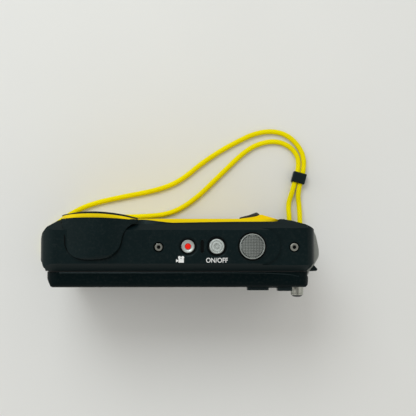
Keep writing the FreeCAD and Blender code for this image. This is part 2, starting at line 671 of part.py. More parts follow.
def ridge_form():
    return prism_z([
        (RIDGE_START, FRONT_Y + 0.2), (RIDGE_START, FRONT_Y), (RIDGE_PEAK + 0.5, FRONT_Y - RIDGE_RISE),
        (RIDGE_PEAK - 0.6, FRONT_Y - RIDGE_RISE), (RIDGE_END, FRONT_Y), (RIDGE_END, FRONT_Y + 0.2),
    ], RIDGE_LOW, RIDGE_TOP)


def pad_form():
    """The grip pad lies on the lens-side flank of the ridge."""
    rise = RIDGE_RISE + PAD_RISE
    start = RIDGE_START - 0.2
    end = RIDGE_PEAK + 1.5
    return prism_z([
        (start, FRONT_Y - 0.02), (end + 0.8, FRONT_Y - rise), (end, FRONT_Y - rise + 0.5),
        (end, FRONT_Y - 0.7),
        (start, FRONT_Y + 0.5),
    ], RIDGE_LOW + PAD_INSET, RIDGE_TOP - PAD_INSET)


def flash_form(grow, y0, y1):
    x0, x1 = FLASH_X
    z0, z1 = FLASH_Z
    return panel(x0 - grow, x1 + grow, z0 - grow, z1 + grow, FLASH_CORNER + grow, y0, y1)


def flash_opening(y0, y1):
    """Hole through plate and shell behind the flash window."""
    rim = FLASH_RIM
    return box(FLASH_X[0] + rim, FLASH_X[1] - rim, y0, y1, FLASH_Z[0] + rim, FLASH_Z[1] - rim)


def lamp_opening(r, y0, y1):
    return rod_y(FOCUS_LAMP_X, (FLASH_Z[0] + FLASH_Z[1]) / 2, r, y0, y1)


def lens_boss():
    """Bowed square with round corners, whose top passes in front of the cowl."""
    behind = bowed(COWL_BOW_R, COWL_FRONT_Y - GAP)
    cowl_room = behind.common(box(0, END_POS, RING_Y, 0, BOSS_LEDGE_Z, COWL_Z))
    return boss_block(0).common(bowed(BOW_R, BOSS_Y)).cut(cowl_room)


def front_plate():
    slab = plate_outline(0, FRONT_Y, PLATE_BACK_Y)
    plate = join(slab, lens_boss(), ridge_form())
    plate = plate.cut(rod_y(LENS_X, LENS_Z, WINDOW_R + GAP, BOSS_Y - 1, WINDOW_Y + WINDOW_T))
    plate = plate.cut(rod_y(LENS_X, LENS_Z, LENS_BORE_R + WINDOW_LEDGE, BOSS_Y, PLATE_BACK_Y + 1))
    plate = plate.cut(flash_form(GAP, FRONT_Y - 1, FRONT_Y + FLASH_T))
    plate = plate.cut(flash_opening(FRONT_Y, PLATE_BACK_Y + 1))
    plate = plate.cut(lamp_opening(FOCUS_LAMP_R + GAP / 2, FRONT_Y - 1, PLATE_BACK_Y + 1))
    return plate.cut(pad_form())


def lens_ring():
    """Bowed face on the boss, with a collar inside it that reaches back to the window."""
    face = rod_y(LENS_X, LENS_Z, RING_R, RING_Y, WINDOW_Y).cut(bowed(BOW_R, BOSS_Y))
    collar = rod_y(LENS_X, LENS_Z, WINDOW_R, RING_Y, WINDOW_Y)
    depth = WINDOW_Y - RING_Y
    mouth = V(LENS_X, RING_Y, LENS_Z)
    bore = Part.makeCone(RING_INNER_R + RING_FLARE, RING_INNER_R, depth, mouth, V(0, 1, 0))
    return join(face, collar).common(bowed(BOW_R, RING_Y)).cut(bore)


def lens_window():
    return rod_y(LENS_X, LENS_Z, WINDOW_R, WINDOW_Y, WINDOW_Y + WINDOW_T)


def flash_window():
    return flash_form(0, FRONT_Y, FRONT_Y + FLASH_T)


def flash_reflector():
    """Trough behind the flash window, with its tube."""
    x0 = FLASH_X[0] + REFLECTOR_INSET
    x1 = FLASH_X[1] - REFLECTOR_INSET
    z0 = FLASH_Z[0] + REFLECTOR_INSET
    z1 = FLASH_Z[1] - REFLECTOR_INSET
    y0 = CAVITY_FRONT_Y + GAP
    middle = (z0 + z1) / 2
    along = V(1, 0, 0)
    block = box(x0, x1, y0, y0 + REFLECTOR_DEPTH, z0, z1)
    length = x1 - x0 - 2 * REFLECTOR_INSET
    trough = Part.makeCylinder(REFLECTOR_TROUGH_R, length, V(x0 + REFLECTOR_INSET, y0, middle), along)
    tube_y = y0 + REFLECTOR_TROUGH_R / 2
    tube = Part.makeCylinder(REFLECTOR_TUBE_R, x1 - x0, V(x0, tube_y, middle), along)
    return join(block.cut(trough), tube)


def focus_lamp():
    return lamp_opening(FOCUS_LAMP_R, FRONT_Y, PLATE_BACK_Y)


# Top controls

def lamp_form(grow, z0):
    half = LAMP_W / 2 + grow
    run = LAMP_L / 2 - LAMP_W / 2
    bar = box(LAMP_X - half, LAMP_X + half, ROW_Y - run, ROW_Y + run, z0, TOP_Z)
    ends = [rod_z(LAMP_X, ROW_Y + side * run, half, z0, TOP_Z) for side in (-1, 1)]
    return join(bar, *ends)


def power_lamp():
    return lamp_form(0, CEILING_Z)


def plunger(x, r, gap, top, travel):
    """Cap with a flange under the top wall and a stem over its switch."""
    flange_top = CEILING_Z - SEAL_T - GAP
    cap = rod_z(x, ROW_Y, r, flange_top - FLANGE, top)
    cap = soften(cap, CAP_EDGE, lambda b: b.ZMin > top - 0.01)
    flange = rod_z(x, ROW_Y, r + gap + FLANGE_LIP, flange_top - FLANGE, flange_top)
    stem = rod_z(x, ROW_Y, STEM_R, BOARD_Z + SWITCH_H + travel + STEM_CLEAR, flange_top - FLANGE)
    return join(cap, flange, stem)


def shutter_button():
    return plunger(SHUTTER_X, SHUTTER_R, SHUTTER_GAP, SHUTTER_TOP, SHUTTER_TRAVEL)


def power_button():
    return plunger(POWER_X, POWER_R, POWER_GAP, POWER_TOP, SMALL_TRAVEL)


def record_button():
    cap = plunger(RECORD_X, RECORD_R, RECORD_GAP, RECORD_TOP, SMALL_TRAVEL)
    return cap.cut(rod_z(RECORD_X, ROW_Y, DOT_R, RECORD_TOP - DOT_SUNK - DOT_T, RECORD_TOP + 1))


def record_dot():
    return rod_z(RECORD_X, ROW_Y, DOT_R, RECORD_TOP - DOT_SUNK - DOT_T, RECORD_TOP - DOT_SUNK)


def button_seals():
    z0 = CEILING_Z - SEAL_T
    rings = []
    for x, r, gap in TOP_BUTTONS:
        ring = rod_z(x, ROW_Y, r + gap + FLANGE_LIP, z0, CEILING_Z)
        rings.append(ring.cut(rod_z(x, ROW_Y, r + GAP / 2, z0, CEILING_Z)))
    return Part.makeCompound(rings)


def tangent_arc(start, control, end):
    """Arc from start to end, tangent to the lines through control, which is equally far from both."""
    middle = (start + end) / 2
    rise = control - middle
    half_turn = math.atan2(rise.Length, (end - middle).Length)
    sagitta = (end - middle).Length * math.tan(half_turn / 2)
    rise.normalize()
    return Part.Arc(start, middle + rise * sagitta, end).toShape()


def coil_path(r, height, turns):
    """Helix of two tangent arcs for each quarter turn."""
    climb = height / turns / (2 * math.pi)
    length = math.hypot(r, climb)
    places = []
    for i in range(4 * turns + 1):
        a = i * math.pi / 2
        place = V(r * math.cos(a), r * math.sin(a), climb * a)
        places.append((place, V(-r * math.sin(a), r * math.cos(a), climb) / length))
    edges = []
    for (p0, t0), (p1, t1) in zip(places, places[1:]):
        chord = p1 - p0
        along = chord.dot(t0 + t1)
        k = 2 * (1 - t0.dot(t1))
        reach = (math.sqrt(along ** 2 + k * chord.dot(chord)) - along) / k
        q0 = p0 + t0 * reach
        q1 = p1 - t1 * reach
        joint = (q0 + q1) / 2
        edges.append(tangent_arc(p0, q0, joint))
        edges.append(tangent_arc(joint, q1, p1))
    return Part.Wire(edges)


def button_spring(x):
    """Helical spring round the stem, from the board to the flange."""
    z0 = BOARD_Z + SPRING_WIRE
    z1 = CEILING_Z - SEAL_T - GAP - FLANGE - SPRING_WIRE
    path = coil_path(SPRING_R, z1 - z0 - 2 * SPRING_SLACK, SPRING_TURNS)
    profile = Part.Wire(Part.makeCircle(SPRING_WIRE / 2, V(SPRING_R, 0, 0), path.Edges[0].tangentAt(0)))
    coil = path.makePipeShell([profile], True, False)
    return coil.translated(V(x, ROW_Y, z0 + SPRING_SLACK))


def hex_screw(x, y, z, length, axis=V(0, 0, 1)):
    """Cap screw with its head's top at z, pointing the other way along axis."""
    head = Part.makeCylinder(SCREW_HEAD_R, SCREW_HEAD_H, V(0, 0, -SCREW_HEAD_H))
    head = soften(head, SCREW_EDGE, lambda b: b.ZMin > -0.01)
    shank = Part.makeCylinder(SCREW_SHANK_R, length, V(0, 0, -SCREW_HEAD_H - length))
    reach = HEX_ACROSS / 2 / math.cos(math.radians(30))
    corners = [V(reach * math.cos(math.radians(60 * i)), reach * math.sin(math.radians(60 * i)), 0)
               for i in range(7)]
    socket = Part.Face(Part.makePolygon(corners)).extrude(V(0, 0, -HEX_DEPTH))
    screw = join(head, shank).cut(socket)
    screw.Placement = FreeCAD.Placement(V(x, y, z), FreeCAD.Rotation(V(0, 0, 1), axis))
    return screw


def case_screws():
    """The same screw twice through the top and twice through the base."""
    top = [hex_screw(x, SCREW_Y, TOP_Z - STEP_DEPTH, SCREW_SHANK) for x in SCREW_X]
    base = [hex_screw(x, y, SCREW_SUNK, SCREW_SHANK, V(0, 0, -1)) for x, y in BASE_SCREWS]
    return Part.makeCompound(top + base)


def cover_screws():
    y = COVER_REAR_Y - SCREW_SUNK
    return Part.makeCompound([hex_screw(x, y, z, COVER_SCREW_SHANK, V(0, 1, 0)) for x, z in COVER_SCREWS])


# Inside

def inner_chassis():
    """Sheet frame that carries the boards."""
    y1 = CHASSIS_Y + CHASSIS_T
    door_end, lens_end, low, top = CHASSIS_MARGINS
    plate = panel(CAVITY_NEG + door_end, CAVITY_POS - lens_end, WALL + low, SHELL_REAR_Z - top,
                  CAVITY_CORNER - 1, CHASSIS_Y, y1)
    shelf_z1 = BOARD_Z - BOARD_T
    shelf = box(*BOARD_X, BOARD_Y[0], y1, shelf_z1 - CHASSIS_T, shelf_z1)
    inset = STANDOFF_INSET
    posts = [rod_y(x, z, STANDOFF_R, MAIN_BOARD_Y + BOARD_T, CHASSIS_Y)
             for x in (MAIN_BOARD_X[0] + inset, MAIN_BOARD_X[1] - inset)
             for z in (MAIN_BOARD_Z[0] + inset, MAIN_BOARD_Z[1] - inset)]
    chassis = join(plate, shelf, *posts)
    for x, z in COVER_SCREWS:
        chassis = chassis.cut(rod_y(x, z, SCREW_SHANK_R + GAP, CHASSIS_Y - 1, y1 + 1))
    side, low, top = CHASSIS_LEDGES
    window = box(REAR_BOARD_X[0] + side, REAR_BOARD_X[1] - side, CHASSIS_Y - 1, y1 + 1,
                 REAR_BOARD_Z[0] + low, REAR_BOARD_Z[1] - top)
    return chassis.cut(window)


def main_board():
    x, z, y = MAIN_BOARD_X[0], MAIN_BOARD_Z[0], MAIN_BOARD_Y
    board = box(*MAIN_BOARD_X, y, y + BOARD_T, *MAIN_BOARD_Z)
    chips = [box(x + x0, x + x1, y - CHIP_T, y, z + z0, z + z1) for x0, x1, z0, z1 in MAIN_CHIPS]
    return join(board, *chips)


def top_board():
    board = box(*BOARD_X, *BOARD_Y, BOARD_Z - BOARD_T, BOARD_Z)
    half = SWITCH_SIDE / 2
    switches = [box(x - half, x + half, ROW_Y - half, ROW_Y + half, BOARD_Z, BOARD_Z + SWITCH_H)
                for x, r, gap in TOP_BUTTONS]
    return join(board, *switches)


def rear_board():
    return box(*REAR_BOARD_X, REAR_BOARD_Y, REAR_BOARD_Y + REAR_BOARD_T, *REAR_BOARD_Z)


def battery_bay():
    w = BAY_WALL
    bay = box(BAY_X, BAY_X1, BAY_Y, BAY_Y1, BAY_Z, BAY_Z1)
    bay = bay.cut(box(BAY_X - 1, BAY_X1 - w, BAY_Y + w, BAY_Y1 - w, BAY_Z + w, BAY_Z1 - w))
    face = BAY_X1 - w
    contacts = [box(face - CONTACT[0], face, BAY_Y + 2, BAY_Y1 - 2, z, z + CONTACT[1])
                for z in (BAY_Z + (i + 1.5) * CONTACT_STEP for i in range(3))]
    return join(bay, *contacts)


def battery():
    g = BAY_WALL + BAY_GAP
    x0 = BAY_X + 0.2
    block = box(x0, x0 + CELL[0], BAY_Y + g, BAY_Y1 - g, BAY_Z + g, BAY_Z1 - g)
    return soften(block, CELL_ROUND, lambda b: b.XLength > CELL[0] - 0.01)


def card_slot():
    w = SLOT_WALL
    x1 = BAY_X + CARD[0] - CARD_CUT
    y0 = BAY_Y1 + GAP
    room = 2 * SLOT_FIT
    slot = box(BAY_X, x1, y0, y0 + CARD[1] + room + 2 * w, CARD_Z, CARD_Z + CARD[2] + room + 2 * w)
    inside = box(BAY_X - 1, x1 - w, y0 + w, y0 + w + CARD[1] + room, CARD_Z + w, CARD_Z + w + CARD[2] + room)
    return slot.cut(inside)


def memory_card():
    y0 = BAY_Y1 + GAP + SLOT_WALL + SLOT_FIT
    x1 = BAY_X + CARD[0] - CARD_CUT - SLOT_WALL - SLOT_FIT
    x0 = x1 - CARD[0] + CARD_CUT + SLOT_WALL
    z0 = CARD_Z + SLOT_WALL + SLOT_FIT
    z1 = z0 + CARD[2]
    outline = [(x0, z0), (x1, z0), (x1, z1 - CARD_CORNER), (x1 - CARD_CORNER, z1), (x0, z1)]
    wire = Part.makePolygon([V(x, y0, z) for x, z in outline + outline[:1]])
    return Part.Face(wire).extrude(V(0, CARD[1], 0))


def usb_socket():
    length, width, height = USB
    w = USB_WALL
    x1 = BAY_X + length
    y1 = USB_Y + width
    z0 = BAY_Z1 + 0.3
    z1 = z0 + height
    shell = box(BAY_X, x1, USB_Y, y1, z0, z1)
    shell = soften(shell, 2 * w, lambda b: b.XLength > length - 0.01)
    room = box(BAY_X - 1, x1 - 2 * w, USB_Y + w, y1 - w, z0 + w, z1 - w)
    tongue = box(BAY_X + 2 * w, x1 - w, USB_Y + 1.4, y1 - 1.4, z0 + 3 * w, z1 - 3 * w)
    mount = box(x1 - 3.5, x1, y1 - w / 2, CHASSIS_Y, z0 + w, z1 - w)
    return join(shell.cut(room), tongue, mount)


# Folded lens

def lens_housing():
    x0 = LENS_X - HOUSING_HALF
    x1 = LENS_X + HOUSING_HALF
    w = HOUSING_WALL
    body = box(x0, x1, HOUSING_Y0, HOUSING_Y1, HOUSING_Z0, HOUSING_Z1)
    body = body.cut(box(x0 + w, x1 - w, HOUSING_Y0 + w, HOUSING_Y1 - w, HOUSING_Z0 + w, HOUSING_Z1 - w))
    snout = rod_y(LENS_X, LENS_Z, LENS_BORE_R - 0.4, PLATE_BACK_Y, HOUSING_Y0)
    body = join(body, snout)
    body = body.cut(rod_y(LENS_X, LENS_Z, ELEMENT_R, PLATE_BACK_Y - 1, HOUSING_Y0 + w + 1))
    # shelf between the prism and the moving groups, holding the upper rod ends
    shelf = box(x0 + w, x1 - w, HOUSING_Y0 + w, HOUSING_Y1 - w, SHELF_Z, SHELF_TOP)
    shelf = shelf.cut(rod_z(LENS_X, LENS_AXIS_Y, GROUP_GLASS_R, SHELF_Z - 1, SHELF_TOP + 1))
    return join(body, shelf).cut(guide_rods())


def front_element():
    disc = rod_y(LENS_X, LENS_Z, ELEMENT_R, PLATE_BACK_Y, PLATE_BACK_Y + ELEMENT_T)
    ball = Part.makeSphere(ELEMENT_BALL_R, V(LENS_X, PLATE_BACK_Y + ELEMENT_BALL_R, LENS_Z))
    return disc.common(ball)


def prism():
    """Right-angle prism standing on the shelf."""
    half = PRISM_SIDE / 2
    y0 = LENS_AXIS_Y - half
    side = [(y0, SHELF_TOP), (y0 + PRISM_SIDE, SHELF_TOP), (y0, SHELF_TOP + PRISM_SIDE)]
    return prism_x(side, LENS_X - half, LENS_X + half)


def lens_group(z, height):
    """Carrier with its glass, sliding on the two rods."""
    carrier = box(LENS_X - GROUP_HALF_X, LENS_X + GROUP_HALF_X, LENS_AXIS_Y - GROUP_HALF_Y,
                  LENS_AXIS_Y + GROUP_HALF_Y, z, z + height)
    carrier = carrier.cut(rod_z(LENS_X, LENS_AXIS_Y, GROUP_GLASS_R, z - 1, z + height + 1))
    for side in (-1, 1):
        x = LENS_X + side * ROD_REACH
        carrier = carrier.cut(rod_z(x, LENS_AXIS_Y, ROD_R + ROD_FIT, z - 1, z + height + 1))
    glass = rod_z(LENS_X, LENS_AXIS_Y, GROUP_GLASS_R, z + GROUP_GLASS_INSET, z + height - GROUP_GLASS_INSET)
    return join(carrier, glass)


def zoom_group():
    return lens_group(ZOOM_Z, ZOOM_H)


def focus_group():
    return lens_group(FOCUS_Z, FOCUS_H)


def guide_rods():
    return Part.makeCompound([rod_z(LENS_X + side * ROD_REACH, LENS_AXIS_Y, ROD_R, ROD_LOW, ROD_TOP)
                              for side in (-1, 1)])


def image_sensor():
    z0 = HOUSING_Z0 + HOUSING_WALL
    wide, deep, high = SENSOR_BASE
    z1 = z0 + high
    base = box(LENS_X - wide / 2, LENS_X + wide / 2, LENS_AXIS_Y - deep / 2, LENS_AXIS_Y + deep / 2, z0, z1)
    wide, deep = SENSOR_SIZE
    die = box(LENS_X - wide / 2, LENS_X + wide / 2, LENS_AXIS_Y - deep / 2, LENS_AXIS_Y + deep / 2,
              z1, z1 + SENSOR_RISE)
    return join(base, die)


# Rear pieces

def display_window():
    return display_seat(0, COVER_REAR_Y - DISPLAY_WINDOW_T)


def display_panel():
    gap = DISPLAY_PANEL_GAP
    y1 = COVER_REAR_Y - DISPLAY_WINDOW_T - GAP / 2
    return panel(DISPLAY_X[0] + gap, DISPLAY_X[1] - gap, DISPLAY_Z[0] + gap, DISPLAY_Z[1] - gap,
                 DISPLAY_CORNER, y1 - DISPLAY_PANEL_T, y1)


def key_stem(x, z, y1):
    return rod_y(x, z, KEY_STEM_R, REAR_BOARD_Y + REAR_BOARD_T + KEY_TRAVEL + KEY_CLEAR, y1)


def rear_key(x, z):
    y0 = COVER_INNER_Y - KEY_GAP - KEY_FLANGE
    y1 = COVER_REAR_Y + KEY_PROUD
    cap = soften(rod_y(x, z, KEY_R, y0, y1), KEY_EDGE, lambda b: b.YMin > y1 - 0.01)
    flange = rod_y(x, z, KEY_R + KEY_FLANGE, y0, COVER_INNER_Y - KEY_GAP)
    return join(cap, flange, key_stem(x, z, COVER_INNER_Y))


def ok_button():
    y1 = COVER_REAR_Y + NAV_PROUD + OK_PROUD
    cap = rod_y(NAV_X, NAV_Z, OK_R, NAV_PIVOT_Y + KEY_GAP, y1)
    cap = soften(cap, KEY_EDGE, lambda b: b.YMin > y1 - 0.01)
    return join(cap, key_stem(NAV_X, NAV_Z, NAV_PIVOT_Y + KEY_GAP + 0.1))


def nav_ring():
    """Direction ring with four raised pips."""
    y1 = COVER_REAR_Y + NAV_PROUD
    ring = rod_y(NAV_X, NAV_Z, NAV_R, COVER_INNER_Y + 0.2, y1)
    ring = soften(ring, NAV_EDGE, lambda b: b.YMin > y1 - 0.01)
    ring = ring.cut(rod_y(NAV_X, NAV_Z, NAV_HOLE, COVER_INNER_Y - 1, y1 + 1))
    mid = (NAV_R + NAV_HOLE) / 2
    pips = []
    for x, z in ((mid, 0), (0, mid), (-mid, 0), (0, -mid)):
        pips.append(rod_y(NAV_X + x, NAV_Z + z, PIP_R, y1 - 0.5, y1 + PIP_RISE))
    return join(ring, *pips)


def nav_cross():
    """Flat ring that the direction ring tilts on."""
    frame = rod_y(NAV_X, NAV_Z, NAV_R - 0.8, NAV_PIVOT_Y - NAV_CROSS_T / 2, NAV_PIVOT_Y + NAV_CROSS_T / 2)
    return frame.cut(rod_y(NAV_X, NAV_Z, NAV_HOLE + 1.0, NAV_PIVOT_Y - 1, NAV_PIVOT_Y + 1))


def zoom_rocker():
    x0 = ROCKER_X - ROCKER_HALF
    x1 = ROCKER_X + ROCKER_HALF
    z0 = ROCKER_Z - ROCKER_H / 2
    z1 = ROCKER_Z + ROCKER_H / 2
    r = ROCKER_CORNER
    bar = panel(x0, x1, z0, z1, r, COVER_INNER_Y + 0.4, ROCKER_BAR_Y)
    humps = [panel(x1 - ROCKER_HUMPS[0], x1, z0, z1, r, ROCKER_BAR_Y - 1, ROCKER_HUMP_Y - 0.3),
             panel(x0, x0 + ROCKER_HUMPS[1], z0, z1, r, ROCKER_BAR_Y - 1, ROCKER_HUMP_Y)]
    hub_r = ROCKER_PIN_R + 0.7
    hub = rod_z(ROCKER_X, ROCKER_PIN_Y, hub_r, z0, z1)
    neck = box(ROCKER_X - hub_r + 0.1, ROCKER_X + hub_r - 0.1, ROCKER_PIN_Y, COVER_INNER_Y + 0.6, z0, z1)
    bore = rod_z(ROCKER_X, ROCKER_PIN_Y, ROCKER_PIN_R + PIN_FIT, z0 - 1, z1 + 1)
    return join(bar, hub, neck, *humps).cut(bore)


def rocker_pin():
    half = ROCKER_H / 2 + ROCKER_GAP + ROCKER_EAR
    return rod_z(ROCKER_X, ROCKER_PIN_Y, ROCKER_PIN_R, ROCKER_Z - half, ROCKER_Z + half)


def lock_knob():
    collar = rod_y(KNOB_X, KNOB_Z, KNOB_R, COVER_REAR_Y + GAP, KNOB_Y)
    collar = soften(collar, KNOB_EDGE, lambda b: b.YMin > KNOB_Y - 0.01)
    return join(collar, rod_y(KNOB_X, KNOB_Z, KNOB_SHAFT_R, COVER_INNER_Y - 1.0, KNOB_Y - 0.5))


def knob_tip():
    tip = rod_y(KNOB_X, KNOB_Z, KNOB_R - KNOB_EDGE, KNOB_Y, KNOB_TIP_Y)
    return soften(tip, KNOB_TIP_ROUND, lambda b: b.YMin > KNOB_TIP_Y - 0.01)


# Side door

def door_panel():
    out = END_NEG - DOOR_BULGE
    back = SEAT_BACK_Y
    inner = SEAT_X - DOOR_GASKET
    return prism_z([
        (inner, PIN_Y + 0.4), (out + 2.2, PIN_Y + 0.4), (out + 1.5, PIN_Y + 1.4), (out + 0.9, PIN_Y + 3.8),
        (out + 0.15, PIN_Y + 7.8), (out, back - 4.04), (out + 0.9, back - 2.24), (out + 2.1, back - 0.24),
        (out + 4.1, back + 2.16), (out + 4.75, back + 3.96), (out + 5.5, back + 3.96),
        (out + 5.05, back + 1.86), (out + 3.35, back - 0.19), (inner, back - 0.54),
    ], DOOR_LOW, DOOR_TOP)


def side_door():
    door = join(door_panel(), rod_z(PIN_X, PIN_Y, KNUCKLE_R, DOOR_LOW, DOOR_TOP))
    door = door.cut(rod_z(PIN_X, PIN_Y, PIN_R + PIN_FIT, DOOR_LOW - 1, DOOR_TOP + 1))
    return door.cut(latch_rib(LATCH_FIT, LATCH_LOW - 2, LATCH_LOW + LATCH_H + LATCH_TRAVEL + 2))


def latch_frame(along, out):
    """A place on the slanted rear strip of the door: along it, and out of it."""
    x = END_NEG - DOOR_BULGE + 2.1
    y = SEAT_BACK_Y - 0.24
    return (x + 0.64 * along - 0.768 * out, y + 0.768 * along + 0.64 * out)


def latch_rib(grow, z0, z1):
    """Rib of the latch, or grown by its clearance, the groove that it slides in."""
    deep = -0.35 - grow / 2
    return prism_z([latch_frame(1.2 - grow, 0.3), latch_frame(2.0 + grow, 0.3), latch_frame(2.0 + grow, deep),
                    latch_frame(1.2 - grow, deep)], z0, z1)


def door_latch():
    z1 = LATCH_LOW + LATCH_H
    slab = prism_z([latch_frame(0.2, 0.08), latch_frame(2.9, 0.08), latch_frame(2.8, 1.3),
                    latch_frame(1.4, 2.3), latch_frame(0.5, 2.2)], LATCH_LOW, z1)
    return join(slab, latch_rib(0, LATCH_LOW + 0.6, z1 - 0.6))


def door_gasket():
    x0 = SEAT_X - DOOR_GASKET
    y0 = MOUTH_Y[0] - GASKET_RIM
    y1 = MOUTH_Y[1] + GASKET_RIM
    ring = box(x0, SEAT_X, y0, y1, MOUTH_Z[0] - GASKET_RIM, MOUTH_Z[1] + GASKET_RIM)
    return ring.cut(box(x0 - 1, SEAT_X + 1, MOUTH_Y[0], MOUTH_Y[1], *MOUTH_Z))


def door_pin():
    return rod_z(PIN_X, PIN_Y, PIN_R, DOOR_LOW - PIN_REACH, DOOR_TOP + PIN_REACH)


# Base

def tripod_socket():
    bush = rod_z(TRIPOD_X, TRIPOD_Y, TRIPOD_R + TRIPOD_WALL, 0, TRIPOD_DEPTH)
    return bush.cut(rod_z(TRIPOD_X, TRIPOD_Y, TRIPOD_R, -1, TRIPOD_DEPTH - TRIPOD_FLOOR))


# Strap

def strap_pin():
    return rod_z(LUG_X, LUG_Y, LUG_PIN_R, LUG_Z[0] + 0.3, LUG_Z[3] - 0.4)


def strap_link():
    """Yoke on the pin with one leg for each end of the cord."""
    left, right = LINK_LEGS
    z0 = LUG_Z[1] + LINK_GAP
    z1 = LUG_Z[2] - LINK_GAP
    edge = CORD_R + LINK_GAP
    bar = box(right - edge, left + edge, LINK_FACE_Y, LINK_BACK_Y, z0, z1)
    eye = rod_z(LUG_X, LUG_Y, LUG_R, z0, z1)
    neck = box(LUG_X - 1.6, LUG_X + 1.6, LINK_BACK_Y - 0.5, LUG_Y, z0, z1)
    return join(bar, eye, neck).cut(rod_z(LUG_X, LUG_Y, LUG_PIN_R + PIN_FIT, z0 - 1, z1 + 1))


# The strap's route over the table, from one leg of the link to the other
CORD_ROUTE = [
    (LINK_LEGS[0], LINK_FACE_Y, LINK_Z), (LINK_LEGS[0], -18.2, LINK_Z), (-52.1, -24.4, CORD_LIE),
    (-54.285, -30.898, BEAD_Z), (-58.115, -44.78, BEAD_Z), (-55.3, -51.6, CORD_LIE), (-48.6, -55.6, CORD_LIE),
    (-40.6, -55.5, CORD_LIE), (-31.6, -51.6, CORD_LIE), (-18.6, -39.0, CORD_LIE), (-5.6, -26.2, CORD_LIE),
    (6.4, -19.2, CORD_LIE), (22.4, -18.0, CORD_LIE), (38.4, -17.9, CORD_LIE), (52.8, -15.9, CORD_LIE),
    (58.4, -9.8, CORD_LIE), (58.7, -2.2, CORD_LIE), (61.1, 3.1, CORD_LIE), (66.5, 3.3, CORD_LIE),
    (68.9, -2.4, CORD_LIE), (66.7, -10.2, CORD_LIE), (58.9, -16.7, CORD_LIE), (47.4, -23.4, CORD_LIE),
    (30.6, -27.8, CORD_LIE), (12.6, -31.2, CORD_LIE), (1.2, -35.8, CORD_LIE), (-10.6, -45.8, CORD_LIE),
    (-24.2, -54.2, CORD_LIE), (-37.6, -60.6, CORD_LIE), (-49.2, -60.6, CORD_LIE), (-57.4, -54.4, CORD_LIE),
    (-60.887, -45.052, BEAD_Z), (-56.791, -30.206, BEAD_Z), (-57.6, -24.2, CORD_LIE),
    (LINK_LEGS[1], -18.2, LINK_Z), (LINK_LEGS[1], LINK_FACE_Y, LINK_Z),
]


def cord_path(route):
    """Straight runs joined by tangent arcs, each as large as its two runs allow."""
    points = [V(*p) for p in route]
    edges = []
    start = points[0]
    radii = []
    for before, here, after in zip(points, points[1:], points[2:]):
        into = (here - before)
        out = (after - here)
        turn = into.getAngle(out)
        reach = 0.45 * min(into.Length, out.Length)
        radii.append(reach / math.tan(turn / 2))
        into.normalize()
        out.normalize()
        enter = here - into * reach
        leave = here + out * reach
        bend = (out - into)
        bend.normalize()
        middle = here + bend * (radii[-1] / math.cos(turn / 2) - radii[-1])
        edges.append(Part.LineSegment(start, enter).toShape())
        edges.append(Part.Arc(enter, middle, leave).toShape())
        start = leave
    edges.append(Part.LineSegment(start, points[-1]).toShape())
    return Part.Wire(edges), radii


def strap_cord():
    path, radii = cord_path(CORD_ROUTE)
    first = V(*CORD_ROUTE[1]) - V(*CORD_ROUTE[0])
    profile = Part.Wire(Part.makeCircle(CORD_R, V(*CORD_ROUTE[0]), first))
    tube = path.makePipeShell([profile], True, False)
    print("cord length %.1f, radii from %.1f:" % (path.Length, min(radii)), *("%.1f" % r for r in radii))
    print("cord volume / (section x length) = %.4f" % (tube.Volume / (math.pi * CORD_R ** 2 * path.Length)))
    return tube


def bead_place(shape):
    """Turn a shape made along Y at the origin into the bead's place."""
    angle = math.degrees(math.atan2(-BEAD_DIR[0], BEAD_DIR[1]))
    shape.Placement = FreeCAD.Placement(V(BEAD_X, BEAD_Y, 0), FreeCAD.Rotation(V(0, 0, 1), angle))
    return shape


def strap_bead():
    wide, long, high = BEAD_SIZE
    bead = box(-wide / 2, wide / 2, -long / 2, long / 2, BEAD_Z - high / 2, BEAD_Z + high / 2)
    bead = bead.makeFillet(BEAD_ROUND, bead.Edges)
    r = CORD_R + BEAD_FIT
    half = BEAD_STRANDS / 2
    end = long / 2 + 1
    holes = [rod_y(x, BEAD_Z, r, -end, end) for x in (-half, half)]
    slot = box(-half, half, -end, end, BEAD_Z - r, BEAD_Z + r)
    return bead_place(bead.cut(join(slot, *holes)))


def grip_pad():
    return pad_form()


PARTS = {
    "main_shell": main_shell, "lens_cowl": lens_cowl, "rear_cover": rear_cover, "body_gasket": body_gasket,
    "front_plate": front_plate, "grip_pad": grip_pad, "lens_ring": lens_ring, "lens_window": lens_window,
    "flash_window": flash_window, "flash_reflector": flash_reflector, "focus_lamp": focus_lamp,
    "power_lamp": power_lamp, "shutter_button": shutter_button, "power_button": power_button,
    "record_button": record_button, "record_dot": record_dot, "button_seals": button_seals,
    "shutter_spring": lambda: button_spring(SHUTTER_X), "power_spring": lambda: button_spring(POWER_X),
    "record_spring": lambda: button_spring(RECORD_X), "case_screws": case_screws,
    "cover_screws": cover_screws, "inner_chassis": inner_chassis, "main_board": main_board,
    "top_board": top_board, "rear_board": rear_board, "battery_bay": battery_bay, "battery": battery,
    "card_slot": card_slot, "memory_card": memory_card, "usb_socket": usb_socket,
    "lens_housing": lens_housing, "front_element": front_element, "prism": prism, "zoom_group": zoom_group,
    "focus_group": focus_group, "guide_rods": guide_rods, "image_sensor": image_sensor,
    "display_window": display_window, "display_panel": display_panel, "ok_button": ok_button,
    "nav_ring": nav_ring, "nav_cross": nav_cross, "zoom_rocker": zoom_rocker, "rocker_pin": rocker_pin,
    "lock_knob": lock_knob, "knob_tip": knob_tip, "side_door": side_door, "door_latch": door_latch,
    "door_gasket": door_gasket, "door_pin": door_pin, "tripod_socket": tripod_socket,
    "strap_pin": strap_pin, "strap_link": strap_link, "strap_cord": strap_cord, "strap_bead": strap_bead,
}


